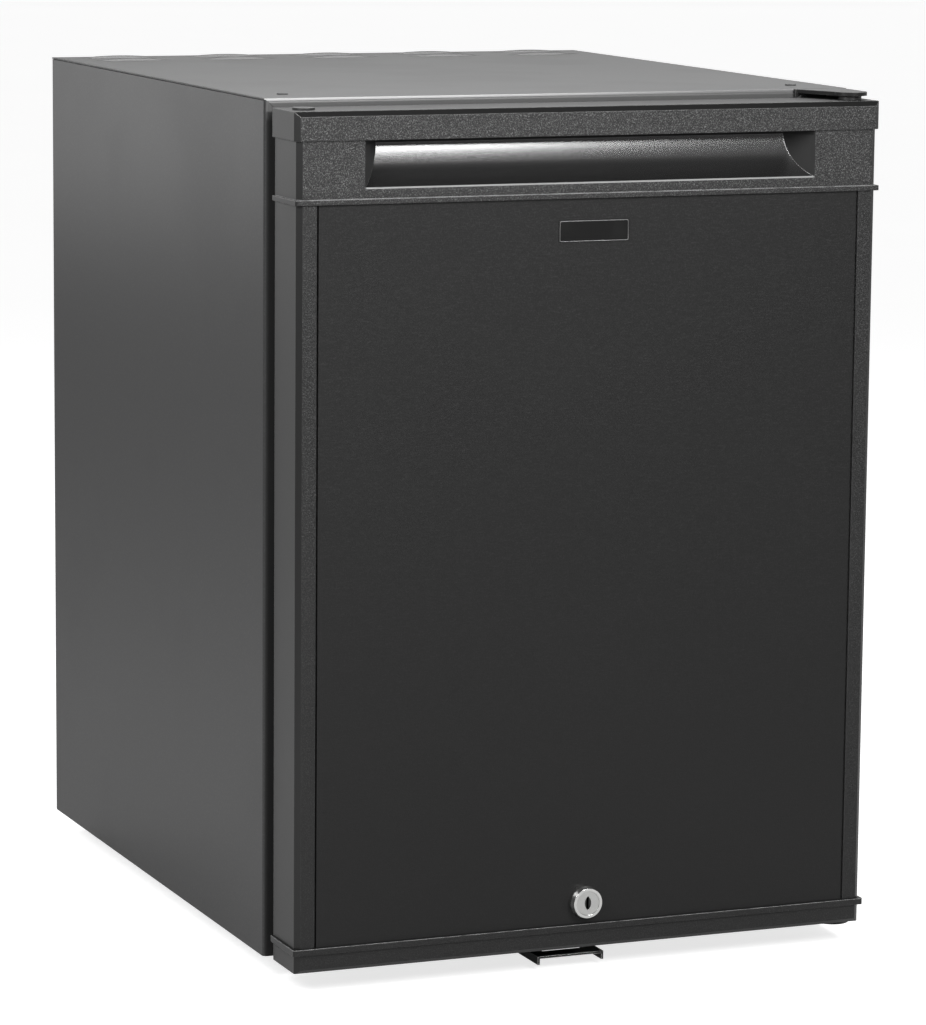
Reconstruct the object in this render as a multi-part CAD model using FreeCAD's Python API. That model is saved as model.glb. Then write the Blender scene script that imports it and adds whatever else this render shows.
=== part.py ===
import FreeCAD, Part
import math
import os

V = FreeCAD.Vector

# Overall sizes, in millimetres
CABINET_WIDTH = 402.0
CABINET_HEIGHT = 545.0
CABINET_DEPTH = 450.0
FOOT_HEIGHT = 15.0
DOOR_THICKNESS = 41.0
SEAL_GAP = 9.0
DOOR_TOP_DROP = 5.0
DOOR_SIDE_INSET = 3.5
OVERRUN = 4.0
FIT = 0.2

# Outer sheets of the cabinet
SHEET = 1.0
BEND = 3.0
SEAM = 0.4
FLANGE_WIDTH = 26.0
REAR_RETURN = 12.0
SIDE_TOP_RETURN = 10.0
BASE_SHEET = 1.2
REAR_BAY_DEPTH = 85.0
VENT_COUNT = 5
VENT_PITCH_SHARE = 0.195
VENT_LENGTH_SHARE = 0.165
VENT_ROWS = 2
VENT_ROW_PITCH = 32.0
VENT_REAR_MARGIN = 18.0
LOUVRE_RISE = 1.6
LOUVRE_AXIS_DROP = 9.0
LOUVRE_MOUTH = 1.8
TOP_SCREW_SIDE_INSET = 24.0
TOP_SCREW_FRONT_INSET = 35.0

# Insulated walls and inner liner
SIDE_WALL = 32.0
TOP_WALL = 35.0
FLOOR_WALL = 40.0
REAR_WALL = 45.0
LINER_WALL = 2.0
LINER_CORNER = 12.0
LEDGE_REACH = 9.0
LEDGE_THICKNESS = 5.0

# Wire shelves
SHELF_LEVEL_SHARES = (0.33, 0.61)
SHELF_FRONT_INSET = 105.0
SHELF_REAR_INSET = 14.0
SHELF_SIDE_CLEARANCE = 2.0
SHELF_FRAME_RADIUS = 2.6
SHELF_WIRE_RADIUS = 1.6
SHELF_WIRE_COUNT = 15
SHELF_CORNER = 12.0
WELD_SINK = 0.8

# Screws
SCREW_HEAD_RADIUS = 3.6
SCREW_HEAD_HEIGHT = 1.8
TOP_SCREW_HEAD_HEIGHT = 0.7
SCREW_SHANK_RADIUS = 1.7
SCREW_SHANK_LENGTH = 10.0
SCREW_CROSS_LENGTH = 4.2
SCREW_CROSS_WIDTH = 0.9
SCREW_CROSS_SHARE = 0.55
SCREW_FIT = 0.1

# Feet
FOOT_TOP_RADIUS = 17.0
FOOT_BASE_RADIUS = 14.0
FOOT_SIDE_INSET = 44.0
FOOT_FRONT_INSET = 46.0
FOOT_REAR_INSET = 40.0

# Door hinges
PIN_SIDE_INSET = 10.5
PIN_BACK = 19.0
PIN_RADIUS = 3.5
PIN_LENGTH = 13.0
PIN_FIT = 0.05
HINGE_PLATE = 2.4
HINGE_PLATE_END_RADIUS = 11.0
HINGE_FOOT_INNER = 25.0
HINGE_LEG = 12.0
LOWER_HINGE_PLATE = 2.0
LOWER_HINGE_LEG = 8.0
HINGE_SCREW_SPACING = 20.0
BUSH_WALL = 2.5
BUSH_FLANGE_RADIUS = 7.5
LOWER_BUSH_FLANGE = 0.8
BUSH_GAP = 0.1
PLUG_CAP_RADIUS = 7.0
PLUG_CAP_HEIGHT = 1.4

# Door frame
TRIM_OVERHANG = 1.8
CAP_PROUD = 1.2
RIB_PROUD = 1.5
EDGE_BEVEL = 3.2
RIB_BEVEL = 1.2
CAP_HEIGHT = 18.0
CAP_WALL = 3.0
CAP_BOSS_RADIUS = 9.0
HANDLE_HEIGHT = 36.0
RIB_HEIGHT = 3.2
BOTTOM_TRIM_HEIGHT = 12.0
BOTTOM_RIB_HEIGHT = 4.0
BOTTOM_BEVEL = 2.5
TRIM_WALL = 3.0
RECESS_HALF_WIDTH = 153.5
RECESS_HEIGHT = 29.5
RECESS_DEPTH = 19.0
RECESS_END_SLOPE = 14.0
HANDLE_ROOF = 2.0
STILE_FACE = 12.5
STILE_WALL = 2.2
STILE_REAR_FLANGE = 12.0
GROOVE_WIDTH = 1.4
PANEL_SEAT = 6.0
PANEL_THICKNESS = 1.8
PANEL_SETBACK = 0.4
BADGE_WIDTH = 47.0
BADGE_HEIGHT = 13.0
BADGE_THICKNESS = 0.8
BADGE_DROP = 27.0

# Door inner side
DYKE_SIDE_CLEARANCE = 14.0
DYKE_WIDTH = 16.0
DYKE_DEPTH = 52.0
DYKE_END_INSET = 40.0
GASKET_SIDE_INSET = 12.5
GASKET_END_INSET = 8.5
GASKET_WIDTH = 14.0
GASKET_BASE = 2.0
GASKET_NECK_WIDTH = 7.0
GASKET_NECK = 2.2
GASKET_CLEARANCE = 0.3
MAGNET_WIDTH = 9.0
MAGNET_THICKNESS = 2.6
MAGNET_CORNER_GAP = 3.0

# Door bins
BIN_LEVEL_SHARES = (0.06, 0.56)
BIN_HEIGHTS = (74.0, 56.0)
BIN_NAMES = ("lower_bin", "upper_bin")
BIN_DEPTH = 84.0
BIN_WALL = 2.4
BIN_SIDE_GAP = 1.0
BIN_DOOR_GAP = 1.5
BIN_CORNER = 10.0
LUG_REACH = 4.5
LUG_LENGTH = 26.0
LUG_HEIGHT = 8.0
LUG_FROM_DOOR = 16.0
HOOK_THICKNESS = 3.0
HOOK_DROP = 7.0
HOOK_FIT = 0.5

# Lock
LOCK_PROUD = 5.5
LOCK_HEIGHT = 30.5
LOCK_HEAD_RADIUS = 11.0
LOCK_HEAD_BEVEL = 2.6
LOCK_BARREL_RADIUS = 9.0
LOCK_BARREL_LENGTH = 24.0
LOCK_PLUG_RADIUS = 6.0
LOCK_FACE_RADIUS = 7.8
LOCK_FACE_THICKNESS = 2.0
LOCK_FACE_PROUD = 0.4
LOCK_RUN_FIT = 0.05
LOCK_EYE_RADIUS = 4.6
LOCK_EYE_HALF_WIDTH = 2.2
LOCK_EYE_DEPTH = 0.8
KEYWAY_LENGTH = 8.0
KEYWAY_WIDTH = 1.7
KEYWAY_DEPTH = 9.0
LOCK_NUT_RADIUS = 13.0
LOCK_NUT_THICKNESS = 4.0
CAM_LENGTH = 40.0
CAM_WIDTH = 14.0
CAM_THICKNESS = 2.2
CAM_SCREW_RADIUS = 4.0
CAM_SCREW_HEIGHT = 2.2
POCKET_WALL = 1.6
POCKET_CLEARANCE = 4.0
POCKET_REAR = 6.0
CAM_SLOT_CLEARANCE = 2.0

# Lock keeper under the cabinet
KEEPER_LEFT = 28.0
KEEPER_RIGHT = 18.0
KEEPER_SHEET = 1.5
KEEPER_DROP = 6.0
KEEPER_FRONT_INSET = 10.0
KEEPER_LIP = 4.0
KEEPER_TAB_LENGTH = 38.0
KEEPER_STEP_INSET = 8.0
KEEPER_SCREW_SPACING = 26.0

# Evaporator
EVAPORATOR_WIDTH = 230.0
EVAPORATOR_HEIGHT = 86.0
EVAPORATOR_BASE = 3.0
EVAPORATOR_FIN_DEPTH = 26.0
EVAPORATOR_FIN_THICKNESS = 1.6
EVAPORATOR_FIN_COUNT = 19
EVAPORATOR_TOP_INSET = 30.0
EVAPORATOR_SCREW_INSET_SHARE = 0.84
STANDOFF_RADIUS = 6.0
PLUG_HEIGHT = 46.0
PLUG_END_MARGIN = 24.0

# Cooling unit on the back
TUBE_RADIUS = 7.0
TUBE_BEND = 14.0
TUBE_BACK = 36.0
EVAPORATOR_BORE_HALF_SPAN = 80.0
EVAPORATOR_TUBE_GAP = 1.0
BOILER_SIDE_INSET = 61.0
BOILER_RADIUS = 31.0
BOILER_BOTTOM = 95.0
BOILER_HEIGHT = 240.0
CONDENSER_TOP_INSET = 40.0
CONDENSER_PASS_PITCH = 32.0
CONDENSER_LEFT = 120.0
CONDENSER_FIN_COUNT = 26
CONDENSER_FIN_PITCH = 6.5
CONDENSER_FIN_THICKNESS = 1.0
CONDENSER_FIN_DEPTH = 46.0
CONDENSER_FIN_MARGIN = 18.0
JOINT_BEFORE_BEND = 40.0
RISER_SIDE_INSET = 56.0
RISER_JOINT_DROP = 60.0
COIL_RADIUS = 8.0
COIL_PASSES = 5
COIL_PITCH_SHARE = 0.066
COIL_BOILER_GAP = 74.0
COIL_BOTTOM = 112.0
VESSEL_RADIUS = 24.0
VESSEL_SIDE_INSET = 51.0
VESSEL_BOILER_GAP = 56.0
VESSEL_HEIGHT = 60.0
VESSEL_DOME = 10.0
SOLUTION_PIPE_RADIUS = 9.0
SOLUTION_BEND = 20.0
HEATER_RADIUS = 6.0
HEATER_OUTSIDE = 22.0
HEATER_INSIDE = 24.0
HEATER_RISE = 34.0
SADDLE_WIDTH = 16.0
SADDLE_HALF_HEIGHT = 15.0
SADDLE_FIT = 0.05
BOILER_SADDLE_SHARES = (0.3, 0.85)
VESSEL_SADDLE_SHARES = (0.25, 0.75)
COIL_CLIP_SHARES = (0.3, 0.75)
COIL_CLIP_MARGIN = 14.0

# Control box on the back
CONTROL_BOX_WIDTH = 104.0
CONTROL_BOX_HEIGHT = 78.0
CONTROL_BOX_DEPTH = 40.0
CONTROL_BOX_WALL = 2.2
CONTROL_BOX_CENTRE = -34.0
INLET_WIDTH = 27.0
INLET_HEIGHT = 20.0
INLET_SHIFT = 24.0
INLET_WALL = 2.0
INLET_DEPTH = 16.0
INLET_FLANGE = 3.0
INLET_FLANGE_THICKNESS = 2.0
INLET_PIN_WIDTH = 4.0
INLET_PIN_THICKNESS = 2.0
INLET_PIN_LENGTH = 13.0
INLET_PIN_SPACING = 7.0
INLET_PIN_RISE = 2.4

# Lamp and thermostat housing inside
HOUSING_REACH = 24.0
HOUSING_LENGTH = 96.0
HOUSING_HEIGHT = 58.0
HOUSING_FRONT_INSET = 108.0
HOUSING_TOP_INSET = 18.0
HOUSING_WALL = 2.0
HOUSING_BEVEL = 6.0
KNOB_RADIUS = 14.0
KNOB_HEIGHT = 11.0
KNOB_GRIP_WIDTH = 6.0
KNOB_GRIP_HEIGHT = 4.0
KNOB_FLUTES = 12
KNOB_FLUTE_RADIUS = 1.6
KNOB_GAP = 0.5
KNOB_SHARE = 0.26
SPINDLE_RADIUS = 3.0
SPINDLE_LENGTH = 12.0
SPINDLE_BOSS_WALL = 2.0
LENS_LENGTH = 42.0
LENS_HEIGHT = 34.0
LENS_PROUD = 1.2
LENS_SHARE = 0.69

# Planes that the pieces share
TOTAL_DEPTH = LOCK_PROUD + DOOR_THICKNESS + SEAL_GAP + CABINET_DEPTH
HALF = CABINET_WIDTH / 2
FRONT_Y = LOCK_PROUD - TOTAL_DEPTH / 2
DOOR_REAR_Y = FRONT_Y + DOOR_THICKNESS
CABINET_FRONT_Y = DOOR_REAR_Y + SEAL_GAP
CABINET_REAR_Y = CABINET_FRONT_Y + CABINET_DEPTH
REAR_PANEL_Y = CABINET_REAR_Y - REAR_BAY_DEPTH
BOTTOM_Z = FOOT_HEIGHT
TOP_Z = FOOT_HEIGHT + CABINET_HEIGHT
SHEET_TOP_Z = TOP_Z - SHEET
FLOOR_SHEET_Z = BOTTOM_Z + BASE_SHEET
CAVITY_HALF = HALF - SIDE_WALL
DYKE_HALF_SPAN = CAVITY_HALF - DYKE_SIDE_CLEARANCE
CAVITY_TOP_Z = TOP_Z - TOP_WALL
CAVITY_FLOOR_Z = BOTTOM_Z + FLOOR_WALL
CAVITY_REAR_Y = REAR_PANEL_Y - REAR_WALL
CAVITY_HEIGHT = CAVITY_TOP_Z - CAVITY_FLOOR_Z
DOOR_HALF = HALF - DOOR_SIDE_INSET
CAP_HALF = DOOR_HALF + TRIM_OVERHANG
DOOR_BOTTOM_Z = BOTTOM_Z
DOOR_TOP_Z = TOP_Z - DOOR_TOP_DROP
CAP_BOTTOM_Z = DOOR_TOP_Z - CAP_HEIGHT
RIB_TOP_Z = CAP_BOTTOM_Z - HANDLE_HEIGHT
RIB_BOTTOM_Z = RIB_TOP_Z - RIB_HEIGHT
BOTTOM_RIB_Z = DOOR_BOTTOM_Z + BOTTOM_TRIM_HEIGHT
PANEL_BOTTOM_Z = BOTTOM_RIB_Z + BOTTOM_RIB_HEIGHT
PANEL_FRONT_Y = FRONT_Y + PANEL_SETBACK
PANEL_BACK_Y = PANEL_FRONT_Y + PANEL_THICKNESS
PANEL_HALF = DOOR_HALF - STILE_FACE - GROOVE_WIDTH
SEAT_HALF = DOOR_HALF - STILE_FACE - PANEL_SEAT
LINER_HALF = DOOR_HALF - STILE_REAR_FLANGE
LINER_FRONT_Y = DOOR_REAR_Y - LINER_WALL
HANDLE_POCKET_Y = FRONT_Y + RECESS_DEPTH + TRIM_WALL
HANDLE_POCKET_Z = CAP_BOTTOM_Z - HANDLE_ROOF
PIN_X = DOOR_HALF - PIN_SIDE_INSET
PIN_Y = FRONT_Y + PIN_BACK
UPPER_PLATE_Z = TOP_Z - HINGE_PLATE
LOWER_PLATE_TOP_Z = DOOR_BOTTOM_Z - LOWER_BUSH_FLANGE - BUSH_GAP
LOCK_Z = DOOR_BOTTOM_Z + LOCK_HEIGHT
LOCK_FRONT_Y = FRONT_Y - LOCK_PROUD
LOCK_REAR_Y = PANEL_FRONT_Y + LOCK_BARREL_LENGTH
CAM_REACH = math.hypot(CAM_LENGTH, CAM_WIDTH / 2)
CAM_REAR_Y = LOCK_REAR_Y + CAM_THICKNESS
TUBE_Y = REAR_PANEL_Y + TUBE_BACK
BOILER_X = HALF - BOILER_SIDE_INSET
EVAPORATOR_RISER_X = HALF - RISER_SIDE_INSET
VESSEL_LEFT = HALF - VESSEL_SIDE_INSET
VESSEL_RIGHT = BOILER_X - VESSEL_BOILER_GAP
COIL_RIGHT = BOILER_X - COIL_BOILER_GAP
COIL_PITCH = CABINET_HEIGHT * COIL_PITCH_SHARE
CONDENSER_Z = TOP_Z - CONDENSER_TOP_INSET
CONDENSER_LOW_Z = CONDENSER_Z - CONDENSER_PASS_PITCH
EVAPORATOR_TOP_Z = CAVITY_TOP_Z - EVAPORATOR_TOP_INSET
EVAPORATOR_Z = EVAPORATOR_TOP_Z - EVAPORATOR_HEIGHT / 2
EVAPORATOR_TUBE_Y = CAVITY_REAR_Y - TUBE_RADIUS - EVAPORATOR_TUBE_GAP
EVAPORATOR_BACK_Y = EVAPORATOR_TUBE_Y - TUBE_RADIUS
PLUG_HALF = EVAPORATOR_BORE_HALF_SPAN + PLUG_END_MARGIN
VESSEL_Z = BOTTOM_Z + VESSEL_HEIGHT
COIL_BOTTOM_Z = BOTTOM_Z + COIL_BOTTOM
COIL_TOP_Z = COIL_BOTTOM_Z + COIL_PITCH * (COIL_PASSES - 1)
CONTROL_BOX_Z = (COIL_TOP_Z + EVAPORATOR_Z) / 2
CONTROL_BOX_LOW_Z = CONTROL_BOX_Z - CONTROL_BOX_HEIGHT / 2
BOILER_Z = BOTTOM_Z + BOILER_BOTTOM
HOUSING_Y = CABINET_FRONT_Y + HOUSING_FRONT_INSET
HOUSING_TOP_Z = CAVITY_TOP_Z - HOUSING_TOP_INSET
HOUSING_Z = HOUSING_TOP_Z - HOUSING_HEIGHT
HOUSING_FACE_X = CAVITY_HALF - HOUSING_REACH
KNOB_Y = HOUSING_Y + HOUSING_LENGTH * KNOB_SHARE
KNOB_Z = (HOUSING_Z + HOUSING_TOP_Z) / 2
LENS_Y = HOUSING_Y + HOUSING_LENGTH * LENS_SHARE


def box(x0, x1, y0, y1, z0, z1):
    return Part.makeBox(x1 - x0, y1 - y0, z1 - z0, V(x0, y0, z0))


def rod(radius, start, end):
    return Part.makeCylinder(radius, (end - start).Length, start, end - start)


def join(shapes):
    whole = shapes[0]
    for shape in shapes[1:]:
        whole = whole.fuse(shape)
    return whole.removeSplitter()


def mirrored(shape):
    return shape.mirror(V(0, 0, 0), V(1, 0, 0))


def place(plane, u, v, w):
    """Point of a drawing plane, w along the plane's normal."""
    if plane == "XY":
        return V(u, v, w)
    if plane == "YZ":
        return V(w, u, v)
    return V(u, w, v)


def path_edges(points, radii):
    """Lines through the points, with a tangent arc at each inner corner that has a radius."""
    edges = []
    start = points[0]
    for i in range(1, len(points) - 1):
        corner = points[i]
        radius = radii[i - 1]
        if radius > 0:
            back = (points[i - 1] - corner).normalize()
            ahead = (points[i + 1] - corner).normalize()
            half_angle = back.getAngle(ahead) / 2
            middle = (back + ahead).normalize()
            centre = corner + middle * (radius / math.sin(half_angle))
            arc_start = corner + back * (radius / math.tan(half_angle))
            arc_end = corner + ahead * (radius / math.tan(half_angle))
            edges.append(Part.makeLine(start, arc_start))
            edges.append(Part.Arc(arc_start, centre - middle * radius, arc_end).toShape())
            start = arc_end
        else:
            edges.append(Part.makeLine(start, corner))
            start = corner
    edges.append(Part.makeLine(start, points[-1]))
    return edges


def prism(plane, outline, w0, w1):
    """Straight-sided outline pushed from w0 to w1 along the plane's normal."""
    points = [place(plane, u, v, w0) for u, v in outline]
    face = Part.Face(Part.makePolygon(points + points[:1]))
    return face.extrude(place(plane, 0, 0, w1 - w0))


def bent_sheet(plane, outline, bend, thickness, w0, w1):
    """Sheet whose outer face follows the outline, with its thickness to the left of it."""
    inner = []
    outer_radii = []
    inner_radii = []
    last = len(outline) - 1
    normals = []
    for (u0, v0), (u1, v1) in zip(outline, outline[1:]):
        length = math.hypot(u1 - u0, v1 - v0)
        normals.append((-(v1 - v0) / length, (u1 - u0) / length))
    for i, (u, v) in enumerate(outline):
        before = normals[max(i - 1, 0)]
        after = normals[min(i, last - 1)]
        spread = 1 + before[0] * after[0] + before[1] * after[1]
        inner.append((u + (before[0] + after[0]) * thickness / spread,
                      v + (before[1] + after[1]) * thickness / spread))
        if 0 < i < last:
            left_turn = before[0] * after[1] - before[1] * after[0] > 0
            outer_radii.append(bend if left_turn else bend - thickness)
            inner_radii.append(bend - thickness if left_turn else bend)
    outer_points = [place(plane, u, v, w0) for u, v in outline]
    inner_points = [place(plane, u, v, w0) for u, v in reversed(inner)]
    edges = path_edges(outer_points, outer_radii)
    edges.append(Part.makeLine(outer_points[-1], inner_points[0]))
    edges += path_edges(inner_points, inner_radii[::-1])
    edges.append(Part.makeLine(inner_points[-1], outer_points[0]))
    return Part.Face(Part.Wire(edges)).extrude(place(plane, 0, 0, w1 - w0))


def tube(points, bend, radius):
    """Round bar along straight runs that are joined by bends."""
    spine = Part.Wire(path_edges(points, [bend] * (len(points) - 2)))
    section = Part.Wire(Part.makeCircle(radius, points[0], points[1] - points[0]))
    return spine.makePipeShell([section], True, True)


def frame_ring(half_width, z0, z1, width, y0, y1):
    """Rectangular frame of one width."""
    outer = box(-half_width, half_width, y0, y1, z0, z1)
    inner_half = half_width - width
    hole = box(-inner_half, inner_half, y0 - OVERRUN, y1 + OVERRUN, z0 + width, z1 - width)
    return outer.cut(hole)


def screw(seat, direction, head_height):
    """Pan-head screw with a cross recess, its head seated on a face."""
    top = seat + direction * head_height
    depth = head_height * SCREW_CROSS_SHARE
    head = rod(SCREW_HEAD_RADIUS, seat, top)
    shank = rod(SCREW_SHANK_RADIUS, seat - direction * SCREW_SHANK_LENGTH, seat)
    half = SCREW_CROSS_LENGTH / 2
    thin = SCREW_CROSS_WIDTH / 2
    bar = Part.makeBox(SCREW_CROSS_LENGTH, SCREW_CROSS_WIDTH, depth + OVERRUN, V(-half, -thin, -depth))
    cross = bar.fuse(bar.rotated(V(0, 0, 0), V(0, 0, 1), 90))
    cross.Placement = FreeCAD.Placement(top, FreeCAD.Rotation(V(0, 0, 1), direction))
    return head.fuse(shank).cut(cross).removeSplitter()


def screw_hole(seat, direction):
    """Room for a screw's shank behind the face that its head sits on."""
    end = seat - direction * (SCREW_SHANK_LENGTH + SCREW_FIT)
    return rod(SCREW_SHANK_RADIUS + SCREW_FIT, end, seat + direction * SCREW_HEAD_HEIGHT)


def bevelled_plan(half_width, front, rear, bevel):
    """Plan outline of a door trim, with its two front corners bevelled."""
    return [(-half_width, rear), (-half_width, front + bevel), (-half_width + bevel, front),
            (half_width - bevel, front), (half_width, front + bevel), (half_width, rear)]


def top_screw_seats():
    x = HALF - TOP_SCREW_SIDE_INSET
    y = CABINET_FRONT_Y + TOP_SCREW_FRONT_INSET
    return [(V(side * x, y, TOP_Z), V(0, 0, 1)) for side in (-1, 1)]


def hinge_screw_seats():
    seats = []
    upper_z = TOP_Z - HINGE_PLATE - (HINGE_LEG - HINGE_PLATE) / 2
    lower_z = BOTTOM_Z + LOWER_HINGE_LEG / 2
    for z, thickness in ((upper_z, HINGE_PLATE), (lower_z, LOWER_HINGE_PLATE)):
        for shift in (-1, 0):
            x = PIN_X + shift * HINGE_SCREW_SPACING
            seats.append((V(x, CABINET_FRONT_Y - thickness, z), V(0, -1, 0)))
    return seats


def keeper_screw_seats():
    y = CABINET_FRONT_Y + KEEPER_STEP_INSET + KEEPER_TAB_LENGTH / 2
    middle = (KEEPER_RIGHT - KEEPER_LEFT) / 2
    z = BOTTOM_Z - KEEPER_SHEET
    return [(V(middle + side * KEEPER_SCREW_SPACING / 2, y, z), V(0, 0, -1)) for side in (-1, 1)]


def louvre_barrel(x, y, length, inset):
    """Upper slice of a barrel that lies in the top sheet and bulges out of it."""
    axis_z = TOP_Z - LOUVRE_AXIS_DROP
    end_z = TOP_Z - inset - SHEET / 2
    start = V(x - length / 2, y, end_z)
    crown = V(x, y, TOP_Z - inset + LOUVRE_RISE)
    end = V(x + length / 2, y, end_z)
    foot_start = V(start.x, y, axis_z)
    foot_end = V(end.x, y, axis_z)
    edges = [Part.Arc(start, crown, end).toShape(), Part.makeLine(end, foot_end),
             Part.makeLine(foot_end, foot_start), Part.makeLine(foot_start, start)]
    barrel = Part.Face(Part.Wire(edges)).revolve(foot_start, V(1, 0, 0), 360)
    reach = LOUVRE_AXIS_DROP + LOUVRE_RISE
    return barrel.common(box(start.x - OVERRUN, end.x + OVERRUN, y - reach, y + reach, end_z, TOP_Z + reach))


def top_panel():
    outline = [(CABINET_FRONT_Y, TOP_Z - FLANGE_WIDTH), (CABINET_FRONT_Y, TOP_Z), (CABINET_REAR_Y, TOP_Z),
               (CABINET_REAR_Y, TOP_Z - REAR_RETURN)]
    panel = bent_sheet("YZ", outline[::-1], BEND, SHEET, -HALF, HALF)
    low = TOP_Z - FLANGE_WIDTH - OVERRUN
    mitre_foot = HALF - FLANGE_WIDTH - OVERRUN
    outside = HALF + OVERRUN
    mitre = [(outside, SHEET_TOP_Z), (HALF - SHEET, SHEET_TOP_Z), (mitre_foot, low), (outside, low)]
    corner = prism("XZ", mitre, CABINET_FRONT_Y - OVERRUN, CABINET_FRONT_Y + BEND)
    rear_corner = box(HALF - REAR_RETURN - SEAM, outside, CABINET_REAR_Y - BEND,
                      CABINET_REAR_Y + OVERRUN, low, SHEET_TOP_Z)
    for notch in (corner, rear_corner):
        panel = panel.cut(notch).cut(mirrored(notch))
    length = CABINET_WIDTH * VENT_LENGTH_SHARE
    pitch = CABINET_WIDTH * VENT_PITCH_SHARE
    for row in range(VENT_ROWS):
        y = CABINET_REAR_Y - VENT_REAR_MARGIN - row * VENT_ROW_PITCH
        for i in range(VENT_COUNT):
            x = (i - (VENT_COUNT - 1) / 2) * pitch
            hollow = louvre_barrel(x, y, length, SHEET)
            panel = panel.fuse(louvre_barrel(x, y, length, 0)).cut(hollow)
            mouth = box(x - length / 2, x + length / 2, y + LOUVRE_MOUTH, y + LOUVRE_AXIS_DROP, TOP_Z,
                        TOP_Z + LOUVRE_RISE + OVERRUN)
            panel = panel.cut(mouth)
    for seat, direction in top_screw_seats() + hinge_screw_seats():
        panel = panel.cut(screw_hole(seat, direction))
    return panel.removeSplitter()


def left_side_panel():
    outline = [(-HALF + FLANGE_WIDTH, CABINET_FRONT_Y), (-HALF, CABINET_FRONT_Y), (-HALF, CABINET_REAR_Y),
               (-HALF + REAR_RETURN, CABINET_REAR_Y)]
    top = SHEET_TOP_Z - SEAM
    panel = bent_sheet("XY", outline[::-1], BEND, SHEET, BOTTOM_Z, top)
    rise = TOP_Z - SEAM / 2
    mitre = [(-HALF, rise), (-HALF + FLANGE_WIDTH + OVERRUN, rise - FLANGE_WIDTH - OVERRUN),
             (-HALF + FLANGE_WIDTH + OVERRUN, TOP_Z + OVERRUN), (-HALF, TOP_Z + OVERRUN)]
    panel = panel.cut(prism("XZ", mitre, CABINET_FRONT_Y - OVERRUN, CABINET_FRONT_Y + BEND))
    flange = box(-HALF + SHEET / 2, -HALF + SIDE_TOP_RETURN, CABINET_FRONT_Y + BEND, REAR_PANEL_Y - SHEET,
                 top - SHEET, top)
    return join([panel, flange])


def right_side_panel():
    panel = mirrored(left_side_panel())
    for seat, direction in hinge_screw_seats():
        panel = panel.cut(screw_hole(seat, direction))
    return panel


def base_panel():
    plate = box(-HALF + SHEET, HALF - SHEET, CABINET_FRONT_Y + BEND, CABINET_REAR_Y - BEND,
                BOTTOM_Z, FLOOR_SHEET_Z)
    outline = [(CABINET_FRONT_Y + BEND + OVERRUN, BOTTOM_Z), (CABINET_FRONT_Y, BOTTOM_Z),
               (CABINET_FRONT_Y, BOTTOM_Z + FLANGE_WIDTH)]
    inner = HALF - FLANGE_WIDTH
    front = bent_sheet("YZ", outline[::-1], BEND, BASE_SHEET, -inner, inner)
    pan = join([plate, front])
    for seat, direction in keeper_screw_seats() + hinge_screw_seats():
        pan = pan.cut(screw_hole(seat, direction))
    return pan


def rear_panel():
    panel = box(-HALF + SHEET, HALF - SHEET, REAR_PANEL_Y - SHEET, REAR_PANEL_Y, FLOOR_SHEET_Z, SHEET_TOP_Z)
    return panel.cut(plug_opening())


def plug_opening():
    low = EVAPORATOR_Z - PLUG_HEIGHT / 2
    high = EVAPORATOR_Z + PLUG_HEIGHT / 2
    return box(-PLUG_HALF, PLUG_HALF, CAVITY_REAR_Y - OVERRUN, REAR_PANEL_Y + OVERRUN, low, high)


def liner_block(grow):
    """Inside of the cabinet, grown on every side but the front, with rounded corners."""
    block = box(-CAVITY_HALF - grow, CAVITY_HALF + grow, CABINET_FRONT_Y, CAVITY_REAR_Y + grow,
                CAVITY_FLOOR_Z - grow, CAVITY_TOP_Z + grow)
    rounded = [edge for edge in block.Edges if edge.CenterOfMass.y > CABINET_FRONT_Y + LINER_CORNER]
    return block.makeFillet(LINER_CORNER + grow, rounded)


def liner_flange():
    inner = HALF - FLANGE_WIDTH
    return box(-inner, inner, CABINET_FRONT_Y, CABINET_FRONT_Y + LINER_WALL,
               BOTTOM_Z + FLANGE_WIDTH, TOP_Z - FLANGE_WIDTH)


def shelf_level(share):
    return CAVITY_FLOOR_Z + CAVITY_HEIGHT * share


def inner_liner():
    shell = join([liner_block(LINER_WALL), liner_flange()]).cut(liner_block(0))
    front = CABINET_FRONT_Y + SHELF_FRONT_INSET
    rear = CAVITY_REAR_Y - LINER_CORNER
    for share in SHELF_LEVEL_SHARES:
        top = shelf_level(share)
        outline = [(CAVITY_HALF + LINER_WALL / 2, top), (CAVITY_HALF - LEDGE_REACH, top),
                   (CAVITY_HALF - LEDGE_REACH, top - LEDGE_THICKNESS),
                   (CAVITY_HALF + LINER_WALL / 2, top - LEDGE_THICKNESS - LEDGE_REACH)]
        ledge = prism("XZ", outline, front, rear)
        shell = join([shell, ledge, mirrored(ledge)])
    return shell.cut(plug_opening())


def cabinet_foam():
    foam = box(-HALF + SHEET, HALF - SHEET, CABINET_FRONT_Y + BEND, REAR_PANEL_Y - SHEET,
               FLOOR_SHEET_Z, SHEET_TOP_Z)
    foam = foam.cut(liner_block(LINER_WALL)).cut(plug_opening())
    ledge = box(-HALF, -HALF + SIDE_TOP_RETURN + SEAM, CABINET_FRONT_Y, REAR_PANEL_Y,
                SHEET_TOP_Z - SEAM - SHEET, TOP_Z)
    foam = foam.cut(ledge).cut(mirrored(ledge))
    for seat, direction in top_screw_seats() + hinge_screw_seats() + keeper_screw_seats():
        foam = foam.cut(screw_hole(seat, direction))
    return foam


def screws(seats, head_height):
    return Part.makeCompound([screw(seat, direction, head_height) for seat, direction in seats])


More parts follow.
